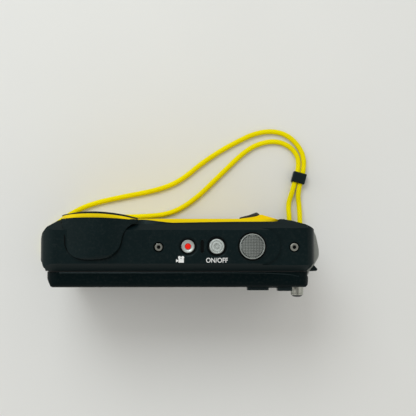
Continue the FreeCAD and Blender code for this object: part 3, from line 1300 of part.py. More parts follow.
def main():
    os.makedirs("parts", exist_ok=True)
    shapes = {name: make() for name, make in PARTS.items()}
    for name, (x, z) in KEYS.items():
        shapes[name] = rear_key(x, z)
    for name, shape in shapes.items():
        shape.exportStep("parts/%s.step" % name)
        if not shape.isValid():
            print("not valid:", name)
    print(len(shapes), "nodes")


if __name__ == "__main__":
    main()
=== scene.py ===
"""Dresses a compact waterproof camera: its plastics, metals, glass, printed marks and braided strap.

Lengths are metres, and outlines, profiles and stations millimetres, in the model's own frame: +Z up, the
lens looks along -Y, the lens side is +X.
"""
import math

import bmesh
import bpy
from mathutils import Matrix, Vector


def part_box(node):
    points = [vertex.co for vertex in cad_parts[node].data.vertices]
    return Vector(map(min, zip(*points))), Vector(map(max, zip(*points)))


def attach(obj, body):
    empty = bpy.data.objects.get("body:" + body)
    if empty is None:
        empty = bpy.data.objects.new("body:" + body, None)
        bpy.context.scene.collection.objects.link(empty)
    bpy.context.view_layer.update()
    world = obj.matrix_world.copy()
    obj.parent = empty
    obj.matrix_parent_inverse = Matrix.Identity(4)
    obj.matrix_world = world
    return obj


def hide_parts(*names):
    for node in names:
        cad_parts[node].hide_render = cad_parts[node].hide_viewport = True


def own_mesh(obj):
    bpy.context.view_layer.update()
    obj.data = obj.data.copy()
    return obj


bl_info = {
    "name": "Compact waterproof camera",
    "version": (1, 0, 0),
    "blender": (4, 5, 0),
    "location": "View3D > Sidebar > Camera",
    "description": "Builds the finishes and fine pieces of a compact waterproof camera",
    "category": "Object",
}

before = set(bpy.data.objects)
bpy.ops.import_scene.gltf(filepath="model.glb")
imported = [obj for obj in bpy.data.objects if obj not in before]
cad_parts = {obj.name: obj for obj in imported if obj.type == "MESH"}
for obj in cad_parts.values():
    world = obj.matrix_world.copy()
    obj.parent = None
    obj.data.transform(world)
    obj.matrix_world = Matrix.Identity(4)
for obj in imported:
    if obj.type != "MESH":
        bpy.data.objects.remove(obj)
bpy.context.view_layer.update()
MM = 0.001
INK = 0.00002

# The strap's route over the table, from one leg of its link to the other, in millimetres
LIE, BEAD_HIGH, LINK_HIGH = 1.25, 2.15, 3.2
STRAP_ROUTE = [
    (-52.45, -14.0, LINK_HIGH), (-52.45, -18.2, LINK_HIGH), (-52.1, -24.4, LIE),
    (-54.285, -30.898, BEAD_HIGH), (-58.115, -44.78, BEAD_HIGH), (-55.3, -51.6, LIE), (-48.6, -55.6, LIE),
    (-40.6, -55.5, LIE), (-31.6, -51.6, LIE), (-18.6, -39.0, LIE), (-5.6, -26.2, LIE), (6.4, -19.2, LIE),
    (22.4, -18.0, LIE), (38.4, -17.9, LIE), (52.8, -15.9, LIE), (58.4, -9.8, LIE), (58.7, -2.2, LIE),
    (61.1, 3.1, LIE), (66.5, 3.3, LIE), (68.9, -2.4, LIE), (66.7, -10.2, LIE), (58.9, -17.3, LIE),
    (47.4, -23.9, LIE), (30.6, -27.8, LIE), (12.6, -31.2, LIE), (1.2, -35.8, LIE), (-10.6, -45.8, LIE),
    (-24.2, -54.2, LIE), (-37.6, -60.6, LIE), (-49.2, -60.6, LIE), (-57.4, -54.4, LIE),
    (-60.887, -45.052, BEAD_HIGH), (-56.791, -30.206, BEAD_HIGH), (-57.6, -24.2, LIE),
    (-57.65, -18.2, LINK_HIGH), (-57.65, -14.0, LINK_HIGH),
]


# Shared helpers

def middle(node):
    """Centre of a CAD node's box."""
    low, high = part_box(node)
    return (low + high) / 2


def looks():
    return bpy.context.scene.camera_looks


def sizes():
    return bpy.context.scene.camera_sizes


def show(piece, material, body):
    """Paint a new piece and let it ride on its body."""
    piece.data.materials.clear()
    piece.data.materials.append(material)
    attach(piece, body)
    return piece


def paint(material, *nodes):
    """Give CAD nodes their finish."""
    for name in nodes:
        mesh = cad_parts[name].data
        mesh.materials.clear()
        mesh.materials.append(material)


def placed(name, data):
    """A new object in the scene."""
    thing = bpy.data.objects.new(name, data)
    bpy.context.scene.collection.objects.link(thing)
    return thing


def read_mesh(thing):
    """The mesh that an object has once its curves and modifiers are worked out."""
    bpy.context.view_layer.update()
    return bpy.data.meshes.new_from_object(thing.evaluated_get(bpy.context.evaluated_depsgraph_get()))


def mesh_of(data):
    """The mesh of a curve or a text."""
    holder = placed(data.name, data)
    mesh = read_mesh(holder)
    bpy.data.objects.remove(holder)
    return mesh


def mesh_piece(name, bm, sharp=35.0):
    """Turn a bmesh into an object with smooth faces and creases at sharp edges."""
    bmesh.ops.recalc_face_normals(bm, faces=bm.faces[:])
    mesh = bpy.data.meshes.new(name)
    bm.to_mesh(mesh)
    bm.free()
    for face in mesh.polygons:
        face.use_smooth = True
    mesh.set_sharp_from_angle(angle=math.radians(sharp))
    return placed(name, mesh)


def wall(bm, low, high):
    """Faces between two rings that have as many points."""
    for i in range(len(low)):
        j = (i + 1) % len(low)
        bm.faces.new((low[i], low[j], high[j], high[i]))


def toward(axis):
    """Rotation that takes +Z to the axis."""
    return Vector((0, 0, 1)).rotation_difference(Vector(axis)).to_matrix().to_4x4()


def turned(name, profile, place, axis=(0, 0, 1), steps=64):
    """Revolve (radius, height) pairs round an axis through place."""
    bm = bmesh.new()
    turn = [i * math.tau / steps for i in range(steps)]
    rings = []
    for r, h in profile:
        if r == 0:
            rings.append([bm.verts.new((0, 0, h * MM))])
        else:
            rings.append([bm.verts.new((r * MM * math.cos(a), r * MM * math.sin(a), h * MM)) for a in turn])
    for low, high in zip(rings, rings[1:]):
        for i in range(steps):
            j = (i + 1) % steps
            corners = [low[i % len(low)], low[j % len(low)], high[j % len(high)], high[i % len(high)]]
            unique = list(dict.fromkeys(corners))
            if len(unique) > 2:
                bm.faces.new(unique)
    bm.transform(Matrix.Translation(place) @ toward(axis))
    return mesh_piece(name, bm)


def cad_copy(node):
    """A CAD node's mesh to work on, with its doubled points joined."""
    bm = bmesh.new()
    bm.from_mesh(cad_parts[node].data)
    bmesh.ops.remove_doubles(bm, verts=bm.verts[:], dist=2e-6)
    return bm


def rounded(bm, edges, offset, segments):
    """Round these edges."""
    bmesh.ops.bevel(bm, geom=edges, offset=offset, segments=segments, profile=0.5, affect="EDGES",
                    clamp_overlap=True, loop_slide=True)


def softened(node, name, edge, crease, upright):
    """A copy of a CAD node with its hard edges rounded, and its blunt upright corners by more."""
    flat_turn, least_turn, most_turn = 0.6, 10, 45
    least_length, steepness = 0.004, 0.97
    bm = cad_copy(node)
    bmesh.ops.dissolve_limit(bm, angle_limit=math.radians(flat_turn), verts=bm.verts[:], edges=bm.edges[:])
    if upright:
        blunt = [e for e in bm.edges
                 if e.is_manifold and least_turn < math.degrees(e.calc_face_angle(0)) < most_turn
                 and abs(e.verts[0].co.z - e.verts[1].co.z) > steepness * e.calc_length() > least_length]
        rounded(bm, blunt, upright, 4)
    hard = [e for e in bm.edges if e.is_manifold and e.calc_face_angle(0) > math.radians(crease)]
    rounded(bm, hard, edge, 3)
    return even_shaded(mesh_piece(name, bm, 50.0))


def even_shaded(piece):
    """Let the large faces lead the shading, so that flats stay flat beside their rounded edges."""
    lead = piece.modifiers.new("even", "WEIGHTED_NORMAL")
    lead.mode = "FACE_AREA"
    lead.weight = 90
    lead.keep_sharp = True
    rough = piece.data
    piece.data = read_mesh(piece)
    piece.modifiers.clear()
    bpy.data.meshes.remove(rough)
    return piece


def replaced(node, name, edge, material, body, crease=28.0, upright=0.0):
    """Show a softened copy in place of a CAD node."""
    piece = show(softened(node, name, edge, crease, upright), made(material), body)
    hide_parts(node)
    return piece


def heads(node, out):
    """Centre of each screw's head face, and the way it faces, for a node of screws along one direction."""
    near_end, on_face = 0.0004, 1e-5
    bm = cad_copy(node)
    found = []
    left = dict.fromkeys(bm.verts)
    while left:
        piece = [left.popitem()[0]]
        for vert in piece:
            for edge in vert.link_edges:
                other = edge.other_vert(vert)
                if other in left:
                    del left[other]
                    piece.append(other)
        along = [v.co.dot(out) for v in piece]
        ends = (max(along), min(along))
        core = sum((v.co for v in piece), Vector()) / len(piece)
        wide = [max((v.co - core).cross(out).length for v in piece if abs(v.co.dot(out) - end) < near_end)
                for end in ends]
        end, facing = (ends[0], out) if wide[0] > wide[1] else (ends[1], -out)
        face = [v.co for v in piece if abs(v.co.dot(out) - end) < on_face]
        found.append((sum(face, Vector()) / len(face), facing))
    bm.free()
    return found


def regular(radius, count):
    """Corners of a regular outline round the origin."""
    turns = [k * math.tau / count for k in range(count)]
    return [(radius * math.cos(a), radius * math.sin(a)) for a in turns]


def flat_shape(outline, place, right, up, thick):
    """A thin plate cut to an outline of (x, y) points in the plane of right and up."""
    right = Vector(right)
    up = Vector(up)
    out = right.cross(up)
    bm = bmesh.new()
    low = [bm.verts.new(place + right * x * MM + up * y * MM) for x, y in outline]
    high = [bm.verts.new(v.co + out * thick) for v in low]
    bm.faces.new(low)
    bm.faces.new(high)
    wall(bm, low, high)
    return mesh_piece("plate", bm)


def merged(name, pieces):
    """Join several pieces into one."""
    bm = bmesh.new()
    for piece in pieces:
        bm.from_mesh(piece.data)
        mesh = piece.data
        bpy.data.objects.remove(piece)
        bpy.data.meshes.remove(mesh)
    return mesh_piece(name, bm)


def web(name, stations, material="moulded black", depth=0.5):
    """Show a thin web on the body over (x, front y, back y, front z, back z) stations."""
    bm = bmesh.new()
    rows = []
    for x, y0, y1, z0, z1 in stations:
        section = ((x, y0, z0), (x, y1, z1), (x, y1, z1 - depth), (x, y0, z0 - depth))
        rows.append([bm.verts.new(Vector(point) * MM) for point in section])
    for low, high in zip(rows, rows[1:]):
        wall(bm, low, high)
    bm.faces.new(rows[0])
    bm.faces.new(rows[-1])
    show(mesh_piece(name, bm), made(material), "camera")


def round_square(centre, half, corner):
    """Points of a square with round corners in the plane of X and Z, the same number for any size."""
    arc_steps, side_steps = 12, 8
    points = []
    for k, (a, b) in enumerate(((1, 1), (-1, 1), (-1, -1), (1, -1))):
        for i in range(arc_steps + 1):
            turn = (k + i / arc_steps) * math.pi / 2
            points.append((centre.x + a * (half - corner) + corner * math.cos(turn),
                           centre.z + b * (half - corner) + corner * math.sin(turn)))
    whole = []
    for (x0, z0), (x1, z1) in zip(points, points[1:] + points[:1]):
        cuts = side_steps if math.hypot(x1 - x0, z1 - z0) > corner / 2 else 1
        whole += [(x0 + (x1 - x0) * i / cuts, z0 + (z1 - z0) * i / cuts) for i in range(cuts)]
    return whole


# Shader nodes

def add(tree, kind, links=None, **settings):
    """One node, with its settings, and its inputs as values or sockets."""
    node = tree.nodes.new(kind)
    for key, value in settings.items():
        setattr(node, key, value)
    for key, value in (links or {}).items():
        if isinstance(value, bpy.types.NodeSocket):
            tree.links.new(value, node.inputs[key])
        else:
            node.inputs[key].default_value = value
    return node


def calc(tree, operation, *values):
    """Result of a math node."""
    return add(tree, "ShaderNodeMath", dict(enumerate(values)), operation=operation).outputs[0]


def noise(tree, place, scale, detail=2.0, roughness=0.5):
    return add(tree, "ShaderNodeTexNoise", {"Vector": place, "Scale": scale, "Detail": detail,
                                            "Roughness": roughness}).outputs["Fac"]


def ranged(tree, value, low, high):
    """Where the value lies between low and high, from 0 to 1."""
    return add(tree, "ShaderNodeMapRange", {"Value": value, "From Min": low, "From Max": high}).outputs[0]


def mixed(tree, factor, low, high):
    """Colour that goes from low to high with the factor."""
    return add(tree, "ShaderNodeMix", {0: factor, 6: low, 7: high}, data_type="RGBA").outputs[2]


def shade(colour, factor):
    return tuple(min(1.0, c * factor) for c in colour[:3]) + (1.0,)


def surfaced(tree, inputs):
    """Give a material its surface."""
    surface = add(tree, "ShaderNodeBsdfPrincipled", inputs)
    output = tree.nodes.new("ShaderNodeOutputMaterial")
    tree.links.new(surface.outputs["BSDF"], output.inputs["Surface"])


def emptied(name):
    """A new material and its empty node tree."""
    material = bpy.data.materials.new(name)
    material.use_nodes = True
    material.node_tree.nodes.clear()
    return material, material.node_tree


# Node groups shared by the materials

def grain(group, size):
    """Fine moulded grain over slow drifts of tone."""
    place = add(group, "ShaderNodeTexCoord").outputs["Object"]
    scale = calc(group, "DIVIDE", 1.0, size)
    fine = noise(group, place, scale, 3.0, 0.6)
    pits = add(group, "ShaderNodeTexVoronoi", {"Vector": place, "Scale": scale}, feature="SMOOTH_F1")
    slow = noise(group, place, 60.0)
    tone = calc(group, "MULTIPLY", fine, slow)
    height = calc(group, "ADD", fine, pits.outputs["Distance"])
    return {"Mask": ranged(group, tone, 0.12, 0.4), "Height": height}


def scuffs(group, amount):
    """Sparse hairline scratches and rubbed patches."""
    place = add(group, "ShaderNodeTexCoord").outputs["Object"]
    lines = []
    for turn, stretch in ((0.4, (60, 2200, 2200)), (1.9, (2000, 70, 2000))):
        along = add(group, "ShaderNodeMapping", {"Vector": place, "Rotation": (0.2, 0.1, turn),
                                                 "Scale": stretch}).outputs[0]
        lines.append(ranged(group, noise(group, along, 1.0, 1.0), 0.68, 0.74))
    where = ranged(group, noise(group, place, 90.0, 3.0), 0.52, 0.7)
    here = calc(group, "MULTIPLY", calc(group, "MAXIMUM", *lines), where)
    return {"Mask": calc(group, "MULTIPLY", here, amount)}


def dust(group, amount):
    """Faint dust that settles on faces that look up."""
    place = add(group, "ShaderNodeTexCoord").outputs["Object"]
    facing = add(group, "ShaderNodeNewGeometry").outputs["Normal"]
    level = ranged(group, add(group, "ShaderNodeSeparateXYZ", {0: facing}).outputs["Z"], 0.5, 1.0)
    specks = ranged(group, noise(group, place, 900.0, 4.0, 0.7), 0.5, 0.8)
    return {"Mask": calc(group, "MULTIPLY", calc(group, "MULTIPLY", level, specks), amount)}


def spun(group, centre, pitch):
    """Fine rings turned round a centre, for machined faces."""
    place = add(group, "ShaderNodeTexCoord").outputs["Object"]
    away = add(group, "ShaderNodeVectorMath", {0: place, 1: centre}, operation="DISTANCE").outputs["Value"]
    wobble = calc(group, "MULTIPLY", noise(group, place, 9000.0), 1.5)
    turns = calc(group, "ADD", calc(group, "DIVIDE", away, pitch), wobble)
    wave = calc(group, "SINE", calc(group, "MULTIPLY", turns, math.tau))
    return {"Mask": ranged(group, wave, -1.0, 1.0), "Height": wave}


def braid(group, strands, pitch):
    """Crossing strands of a braided cord, from its length and girth in the UV map."""
    split = add(group, "ShaderNodeSeparateXYZ", {0: add(group, "ShaderNodeUVMap").outputs["UV"]})
    girth = calc(group, "MULTIPLY", split.outputs["X"], strands)
    along = calc(group, "DIVIDE", split.outputs["Y"], pitch)
    waves = []
    for way in ("ADD", "SUBTRACT"):
        angle = calc(group, "MULTIPLY", calc(group, way, girth, along), math.pi)
        waves.append(calc(group, "ABSOLUTE", calc(group, "SINE", angle)))
    high = calc(group, "MULTIPLY", *waves)
    return {"Mask": ranged(group, high, 0.0, 0.55), "Height": high}


# For each group: what it does, and its inputs with their kinds and values
EFFECTS = {
    "Grain": (grain, {"Size": ("Float", 0.0003)}),
    "Scuffs": (scuffs, {"Amount": ("Float", 0.5)}),
    "Dust": (dust, {"Amount": ("Float", 0.2)}),
    "Spun": (spun, {"Centre": ("Vector", (0, 0, 0)), "Pitch": ("Float", 0.00015)}),
    "Braid": (braid, {"Strands": ("Float", 8.0), "Pitch": ("Float", 2.6)}),
}
GROUPS = {}


def effect_group(name):
    """A shared node group with named sockets."""
    build, inputs = EFFECTS[name]
    group = bpy.data.node_groups.new(name, "ShaderNodeTree")
    for label, (kind, value) in inputs.items():
        socket = group.interface.new_socket(label, in_out="INPUT", socket_type="NodeSocket" + kind)
        socket.default_value = value
    start = group.nodes.new("NodeGroupInput")
    results = build(group, *(start.outputs[label] for label in inputs))
    for label in results:
        group.interface.new_socket(label, in_out="OUTPUT", socket_type="NodeSocketFloat")
    end = group.nodes.new("NodeGroupOutput")
    for label, socket in results.items():
        group.links.new(socket, end.inputs[label])
    return group


def effect(tree, name, **values):
    """Place a shared node group in a material with its own values."""
    if name not in GROUPS:
        GROUPS[name] = effect_group(name)
    return add(tree, "ShaderNodeGroup", values, node_tree=GROUPS[name])


# Materials

DUST = (0.45, 0.44, 0.42, 1.0)
GRAIN_UNDER_PATTERN = 0.15


def finish(name, colour, rough, grain_size, relief, spread, rough_spread, scuff=0.0, dusty=0.0,
           scuff_colour=None, pattern=None, pattern_values=None, **shader):
    """A material with grain in its colour, roughness and relief, and scuffs and dust over it."""
    material, tree = emptied(name)
    coat = effect(tree, "Grain", Size=grain_size)
    shown = mixed(tree, coat.outputs["Mask"], shade(colour, 1 - spread), shade(colour, 1 + spread))
    height = coat.outputs["Height"]
    rough_mask = coat.outputs["Mask"]
    if pattern:
        marks = effect(tree, pattern, **pattern_values)
        shown = mixed(tree, marks.outputs["Mask"], shade(colour, 1 - 2 * spread), shown)
        height = calc(tree, "MULTIPLY_ADD", height, GRAIN_UNDER_PATTERN, marks.outputs["Height"])
        rough_mask = marks.outputs["Mask"]
    roughness = add(tree, "ShaderNodeMapRange", {"Value": rough_mask, "To Min": rough - rough_spread,
                                                 "To Max": rough + rough_spread}).outputs[0]
    if scuff:
        shown = mixed(tree, effect(tree, "Scuffs", Amount=scuff).outputs["Mask"], shown, scuff_colour)
    if dusty:
        shown = mixed(tree, effect(tree, "Dust", Amount=dusty).outputs["Mask"], shown, DUST)
    bumps = add(tree, "ShaderNodeBump", {"Height": height, "Strength": relief, "Distance": 0.0001})
    surfaced(tree, {"Base Color": shown, "Roughness": roughness, "Normal": bumps.outputs["Normal"], **shader})
    return material


def scuffed(amount, red, green, blue):
    return {"scuff": amount, "scuff_colour": (red, green, blue, 1)}


def gleam(level):
    """How strong the highlights of a plastic are."""
    return {"Specular IOR Level": level}


COOL = {"Specular Tint": (0.8, 1.0, 1.0, 1.0)}
METAL = {"Metallic": 1.0}
FINISHES = {}


def recipes():
    """For each finish: the material's name, colour, roughness, size of the grain, relief, spread of the
    colour, spread of the roughness, and what else it has."""
    look = looks()
    moulded = scuffed(0.15, 0.03, 0.04, 0.04) | {"dusty": 0.02} | COOL
    return {
        "moulded black": ("moulded_black", look.black, look.black_rough, 0.0002, 0.06, 0.12, 0.04,
                          moulded | gleam(0.12)),
        # Darker copy of the moulded black, with weaker highlights: painted shade for the rear cover, which
        # faces away from the lamps
        "cover black": ("cover_black", shade(look.black, 0.7), look.black_rough, 0.0002, 0.06, 0.12, 0.04,
                        moulded | gleam(0.04)),
        "satin black": ("satin_black", look.trim, 0.34, 0.0002, 0.05, 0.2, 0.05,
                        scuffed(0.2, 0.05, 0.05, 0.05) | {"dusty": 0.02} | gleam(0.2) | COOL),
        "gloss black": ("gloss_black", look.trim, 0.1, 0.0006, 0.01, 0.2, 0.03,
                        scuffed(0.3, 0.2, 0.2, 0.2) | {"Coat Weight": 0.6}),
        "yellow": ("yellow_plate", look.yellow, 0.36, 0.0005, 0.02, 0.03, 0.05,
                   scuffed(0.2, 0.75, 0.6, 0.1) | gleam(0.12)),
        "grip": ("grip_rubber", (0.007, 0.009, 0.010), 0.7, 0.0004, 0.5, 0.3, 0.1, {"dusty": 0.2}),
        "seal": ("seal_rubber", (0.012, 0.012, 0.013), 0.6, 0.0003, 0.1, 0.2, 0.05, {}),
        "silver": ("machined_silver", look.silver, 0.34, 0.00015, 0.04, 0.06, 0.06,
                   scuffed(0.3, 0.85, 0.85, 0.83) | METAL),
        "spun": ("spun_silver", look.silver, 0.36, 0.0001, 0.3, 0.2, 0.1,
                 {"pattern": "Spun", "pattern_values": {"Centre": middle("power_button"), "Pitch": 0.00062}}
                 | METAL),
        "knurl": ("knurled_silver", look.silver, 0.28, 0.0001, 0.05, 0.1, 0.08, METAL),
        # Dark metal under the shutter's squares: painted shade for the valleys between them
        "knurl floor": ("knurl_floor", (0.10, 0.11, 0.105), 0.4, 0.0001, 0.05, 0.2, 0.05, METAL),
        "door": ("silver_door", look.door, 0.3, 0.0002, 0.04, 0.04, 0.05,
                 scuffed(0.3, 0.6, 0.6, 0.58) | {"Metallic": 0.85}),
        "steel": ("screw_steel", (0.40, 0.41, 0.37), 0.3, 0.0001, 0.05, 0.12, 0.08,
                  scuffed(0.5, 0.7, 0.69, 0.66) | METAL),
        "chrome": ("bright_chrome", (0.66, 0.68, 0.64), 0.12, 0.0002, 0.02, 0.05, 0.04,
                   scuffed(0.4, 0.9, 0.9, 0.88) | METAL),
        "brass": ("socket_brass", (0.62, 0.47, 0.22), 0.28, 0.0001, 0.05, 0.1, 0.06, METAL),
        "red": ("red_dot", look.red, 0.3, 0.0003, 0.02, 0.05, 0.04, gleam(0.12)),
        "white ink": ("white_ink", (0.72, 0.73, 0.72), 0.5, 0.0001, 0.05, 0.06, 0.05, {}),
        "grey ink": ("grey_ink", (0.3, 0.31, 0.32), 0.5, 0.0001, 0.05, 0.06, 0.05, {}),
        "board": ("board_green", (0.02, 0.12, 0.05), 0.35, 0.0008, 0.1, 0.3, 0.08, {}),
        "sensor": ("sensor_face", (0.08, 0.05, 0.12), 0.15, 0.0003, 0.02, 0.2, 0.05, {}),
        "cell": ("cell_wrap", (0.03, 0.035, 0.05), 0.4, 0.0005, 0.05, 0.15, 0.05, {}),
        "card": ("card_blue", (0.02, 0.05, 0.2), 0.4, 0.0004, 0.05, 0.15, 0.05, {}),
        "display": ("display_dark", (0.008, 0.009, 0.012), 0.15, 0.001, 0.01, 0.2, 0.03, {}),
        "cord": ("braided_cord", look.cord, 0.66, 0.00012, 0.7, 0.12, 0.06,
                 {"pattern": "Braid", "pattern_values": {"Strands": 8.0, "Pitch": 1.9}} | gleam(0.04)),
        "glass": ("window_glass", (0.95, 0.97, 1.0), 0.04, 0.002, 0.005, 0.01, 0.02,
                  {"Transmission Weight": 1.0, "IOR": 1.45}),
        "coated glass": ("coated_glass", (0.75, 0.72, 0.95), 0.04, 0.002, 0.005, 0.02, 0.02,
                         {"Transmission Weight": 0.9, "IOR": 1.6, "Coat Weight": 1.0}),
        "frosted": ("frosted_plastic", (0.9, 0.92, 0.93), 0.22, 0.0004, 0.15, 0.02, 0.06,
                    {"Transmission Weight": 0.85, "IOR": 1.49}),
        "smoked": ("smoked_lamp", (0.10, 0.03, 0.02), 0.12, 0.0006, 0.02, 0.1, 0.04,
                   {"Transmission Weight": 0.3}),
        # Near-black for the lamp slot and the cowl joint, and for the painted shade round the buttons and in
        # the screw sockets
        "slot": ("slot_black", (0.001, 0.002, 0.002), 0.6, 0.0003, 0.05, 0.2, 0.05, gleam(0.06)),
    }


def made(name):
    """The material of that name, built when first asked for."""
    if name not in FINISHES:
        *values, more = recipes()[name]
        FINISHES[name] = finish(*values, **more)
    return FINISHES[name]


# Sizes and colours that a user would change

def tint(name, description, default):
    return bpy.props.FloatVectorProperty(name=name, description=description, subtype="COLOR", size=3,
                                         default=default, min=0, max=1)


def length(name, description, default, low, high):
    return bpy.props.FloatProperty(name=name, description=description, unit="LENGTH", default=default,
                                   min=low, max=high, precision=5)


class CameraLooks(bpy.types.PropertyGroup):
    """Colours and finishes, as linear values."""
    black: tint("Moulded black", "Plastic of shell, cowl and rear cover", (0.0022, 0.0071, 0.0081))
    black_rough: bpy.props.FloatProperty(name="Black roughness", description="Roughness of moulded plastic",
                                         subtype="FACTOR", default=0.36, min=0.05, max=1)
    trim: tint("Trim black", "Plastic of ring, keys, latch and bead", (0.0034, 0.0085, 0.0100))
    yellow: tint("Front yellow", "Plastic of the front plate", (0.84, 0.62, 0.0))
    cord: tint("Cord yellow", "Yarn of the strap", (0.93, 0.79, 0.0))
    silver: tint("Button silver", "Metal of the top buttons", (0.50, 0.545, 0.525))
    door: tint("Door silver", "Paint of the side door", (0.38, 0.405, 0.38))
    red: tint("Record red", "Dot of the record button", (0.82, 0.013, 0.004))
    floor: tint("Table", "Colour of the table top", (0.74, 0.745, 0.73))


class CameraSizes(bpy.types.PropertyGroup):
    """Sizes of the fine pieces."""
    edge: length("Edge rounding", "Rounding of the moulded edges", 0.00045, 0.00005, 0.002)
    knurl: length("Knurl pitch", "Pitch of the knurl on the shutter button", 0.00063, 0.0003, 0.002)
    cord: length("Cord diameter", "Diameter of the strap cord", 0.0024, 0.001, 0.005)
    letter: length("Letter height", "Height of the printed letters", 0.0020, 0.0005, 0.005)


# Stage: camera, lamps and table

class STAGE_OT_make(bpy.types.Operator):
    """Pale table, soft daylight and a camera almost straight above"""
    bl_idname = "compact_camera.stage"
    bl_label = "Table, lamps and camera"

    def execute(self, context):
        self.camera(context)
        self.table()
        self.lamps(context)
        return {"FINISHED"}

    def camera(self, context):
        """A long lens that looks down and leans a little: image right is -X and image up is -Y."""
        stand = (-0.00596, -0.00265, 0.3648)
        lean_x, lean_y = 0.0177, 0.0544
        lens = bpy.data.cameras.new("view")
        lens.sensor_width = 36.0
        lens.lens = 63.6
        lens.clip_start = 0.01
        back = Vector((lean_x, lean_y, 1.0)).normalized()
        right = Vector((-1.0, 0.0, lean_x))
        right = (right - back * right.dot(back)).normalized()
        turn = Matrix((right, back.cross(right), back)).transposed().to_4x4()
        view = placed("view", lens)
        view.matrix_world = Matrix.Translation(stand) @ turn
        context.scene.camera = view

    def table(self):
        """Pale matt top with faint clouds in its colour."""
        bm = bmesh.new()
        bmesh.ops.create_grid(bm, x_segments=8, y_segments=8, size=9.0)
        top = mesh_piece("table_top", bm)
        material, tree = emptied("table")
        cloud = noise(tree, add(tree, "ShaderNodeTexCoord").outputs["Object"], 9.0, 3.0)
        shown = mixed(tree, cloud, shade(looks().floor, 0.97), shade(looks().floor, 1.02))
        surfaced(tree, {"Base Color": shown, "Roughness": 0.8, "Specular IOR Level": 0.2})
        top.data.materials.append(material)

    def lamps(self, context):
        """Soft light from all round, dim straight above, where the camera is, and two lamps."""
        levels = ((0.0, 0.66), (0.3, 0.66), (0.55, 0.88), (0.84, 0.82), (0.96, 0.32), (1.0, 0.30))
        world = bpy.data.worlds.new("room")
        world.use_nodes = True
        tree = world.node_tree
        heading = add(tree, "ShaderNodeTexCoord").outputs["Generated"]
        height = add(tree, "ShaderNodeSeparateXYZ", {0: heading}).outputs["Z"]
        ramp = add(tree, "ShaderNodeValToRGB", {"Fac": height})
        marks = ramp.color_ramp.elements
        marks.remove(marks[1])
        for spot, level in levels:
            mark = marks.new(spot) if spot else marks[0]
            mark.color = (level, level, level, 1)
        back = tree.nodes["Background"]
        back.inputs["Color"].default_value = (1.0, 0.98, 0.94, 1.0)
        tree.links.new(ramp.outputs["Color"], back.inputs["Strength"])
        context.scene.world = world
        for name, place, size, power in (("window_light", (0.20, -0.45, 0.64), 0.42, 2.3),
                                         ("side_light", (0.95, -0.35, 0.35), 0.6, 1.2)):
            lamp = bpy.data.lights.new(name, "AREA")
            lamp.shape = "SQUARE"
            lamp.size = size
            lamp.energy = power
            lamp.color = (0.93, 0.98, 1.0)
            turn = toward(Vector(place).normalized())
            placed(name, lamp).matrix_world = Matrix.Translation(place) @ turn


# Strap

class STRAP_OT_make(bpy.types.Operator):
    """Braided cord loop of the strap, with its bead and link"""
    bl_idname = "compact_camera.strap"
    bl_label = "Strap"

    def execute(self, context):
        line = self.line()
        cord = show(self.tube(line), made("cord"), "camera")
        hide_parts("strap_cord")
        bead = replaced("strap_bead", "cord_bead", 0.00018, "satin black", "bead")
        link = replaced("strap_link", "cord_link", 0.0003, "satin black", "camera")
        return {"FINISHED"}

    def line(self):
        """Points read from a smooth spline with the route as its control points."""
        curve = bpy.data.curves.new("strap_line", "CURVE")
        curve.dimensions = "3D"
        spline = curve.splines.new("NURBS")
        spline.points.add(len(STRAP_ROUTE) - 1)
        for point, place in zip(spline.points, STRAP_ROUTE):
            point.co = (*(Vector(place) * MM), 1.0)
        spline.order_u = 3
        spline.use_endpoint_u = True
        spline.resolution_u = 16
        mesh = mesh_of(curve)
        points = [v.co.copy() for v in mesh.vertices]
        bpy.data.meshes.remove(mesh)
        return points

    def tube(self, line):
        """Round tube along the points, with its girth and its length in millimetres in the UV map."""
        sides = 20
        radius = sizes().cord / 2
        bm = bmesh.new()
        rings = []
        lengths = [0.0]
        for a, b in zip(line, line[1:]):
            lengths.append(lengths[-1] + (b - a).length)
        side = Vector((0, 0, 1))
        for i, here in enumerate(line):
            ahead = (line[min(i + 1, len(line) - 1)] - line[max(i - 1, 0)]).normalized()
            side = (side - ahead * side.dot(ahead)).normalized()
            other = ahead.cross(side)
            rings.append([bm.verts.new(here + (side * math.cos(a) + other * math.sin(a)) * radius)
                          for a in (k * math.tau / sides for k in range(sides))])
        uv = bm.loops.layers.uv.new("UVMap")
        for i, (low, high) in enumerate(zip(rings, rings[1:])):
            for k in range(sides):
                n = (k + 1) % sides
                face = bm.faces.new((low[k], low[n], high[n], high[k]))
                for loop, u, v in zip(face.loops, (k, k + 1, k + 1, k),
                                      (lengths[i], lengths[i], lengths[i + 1], lengths[i + 1])):
                    loop[uv].uv = (u / sides, v / MM)
        bm.faces.new(rings[0])
        bm.faces.new(rings[-1])
        return mesh_piece("strap_cord_braid", bm)


# Body

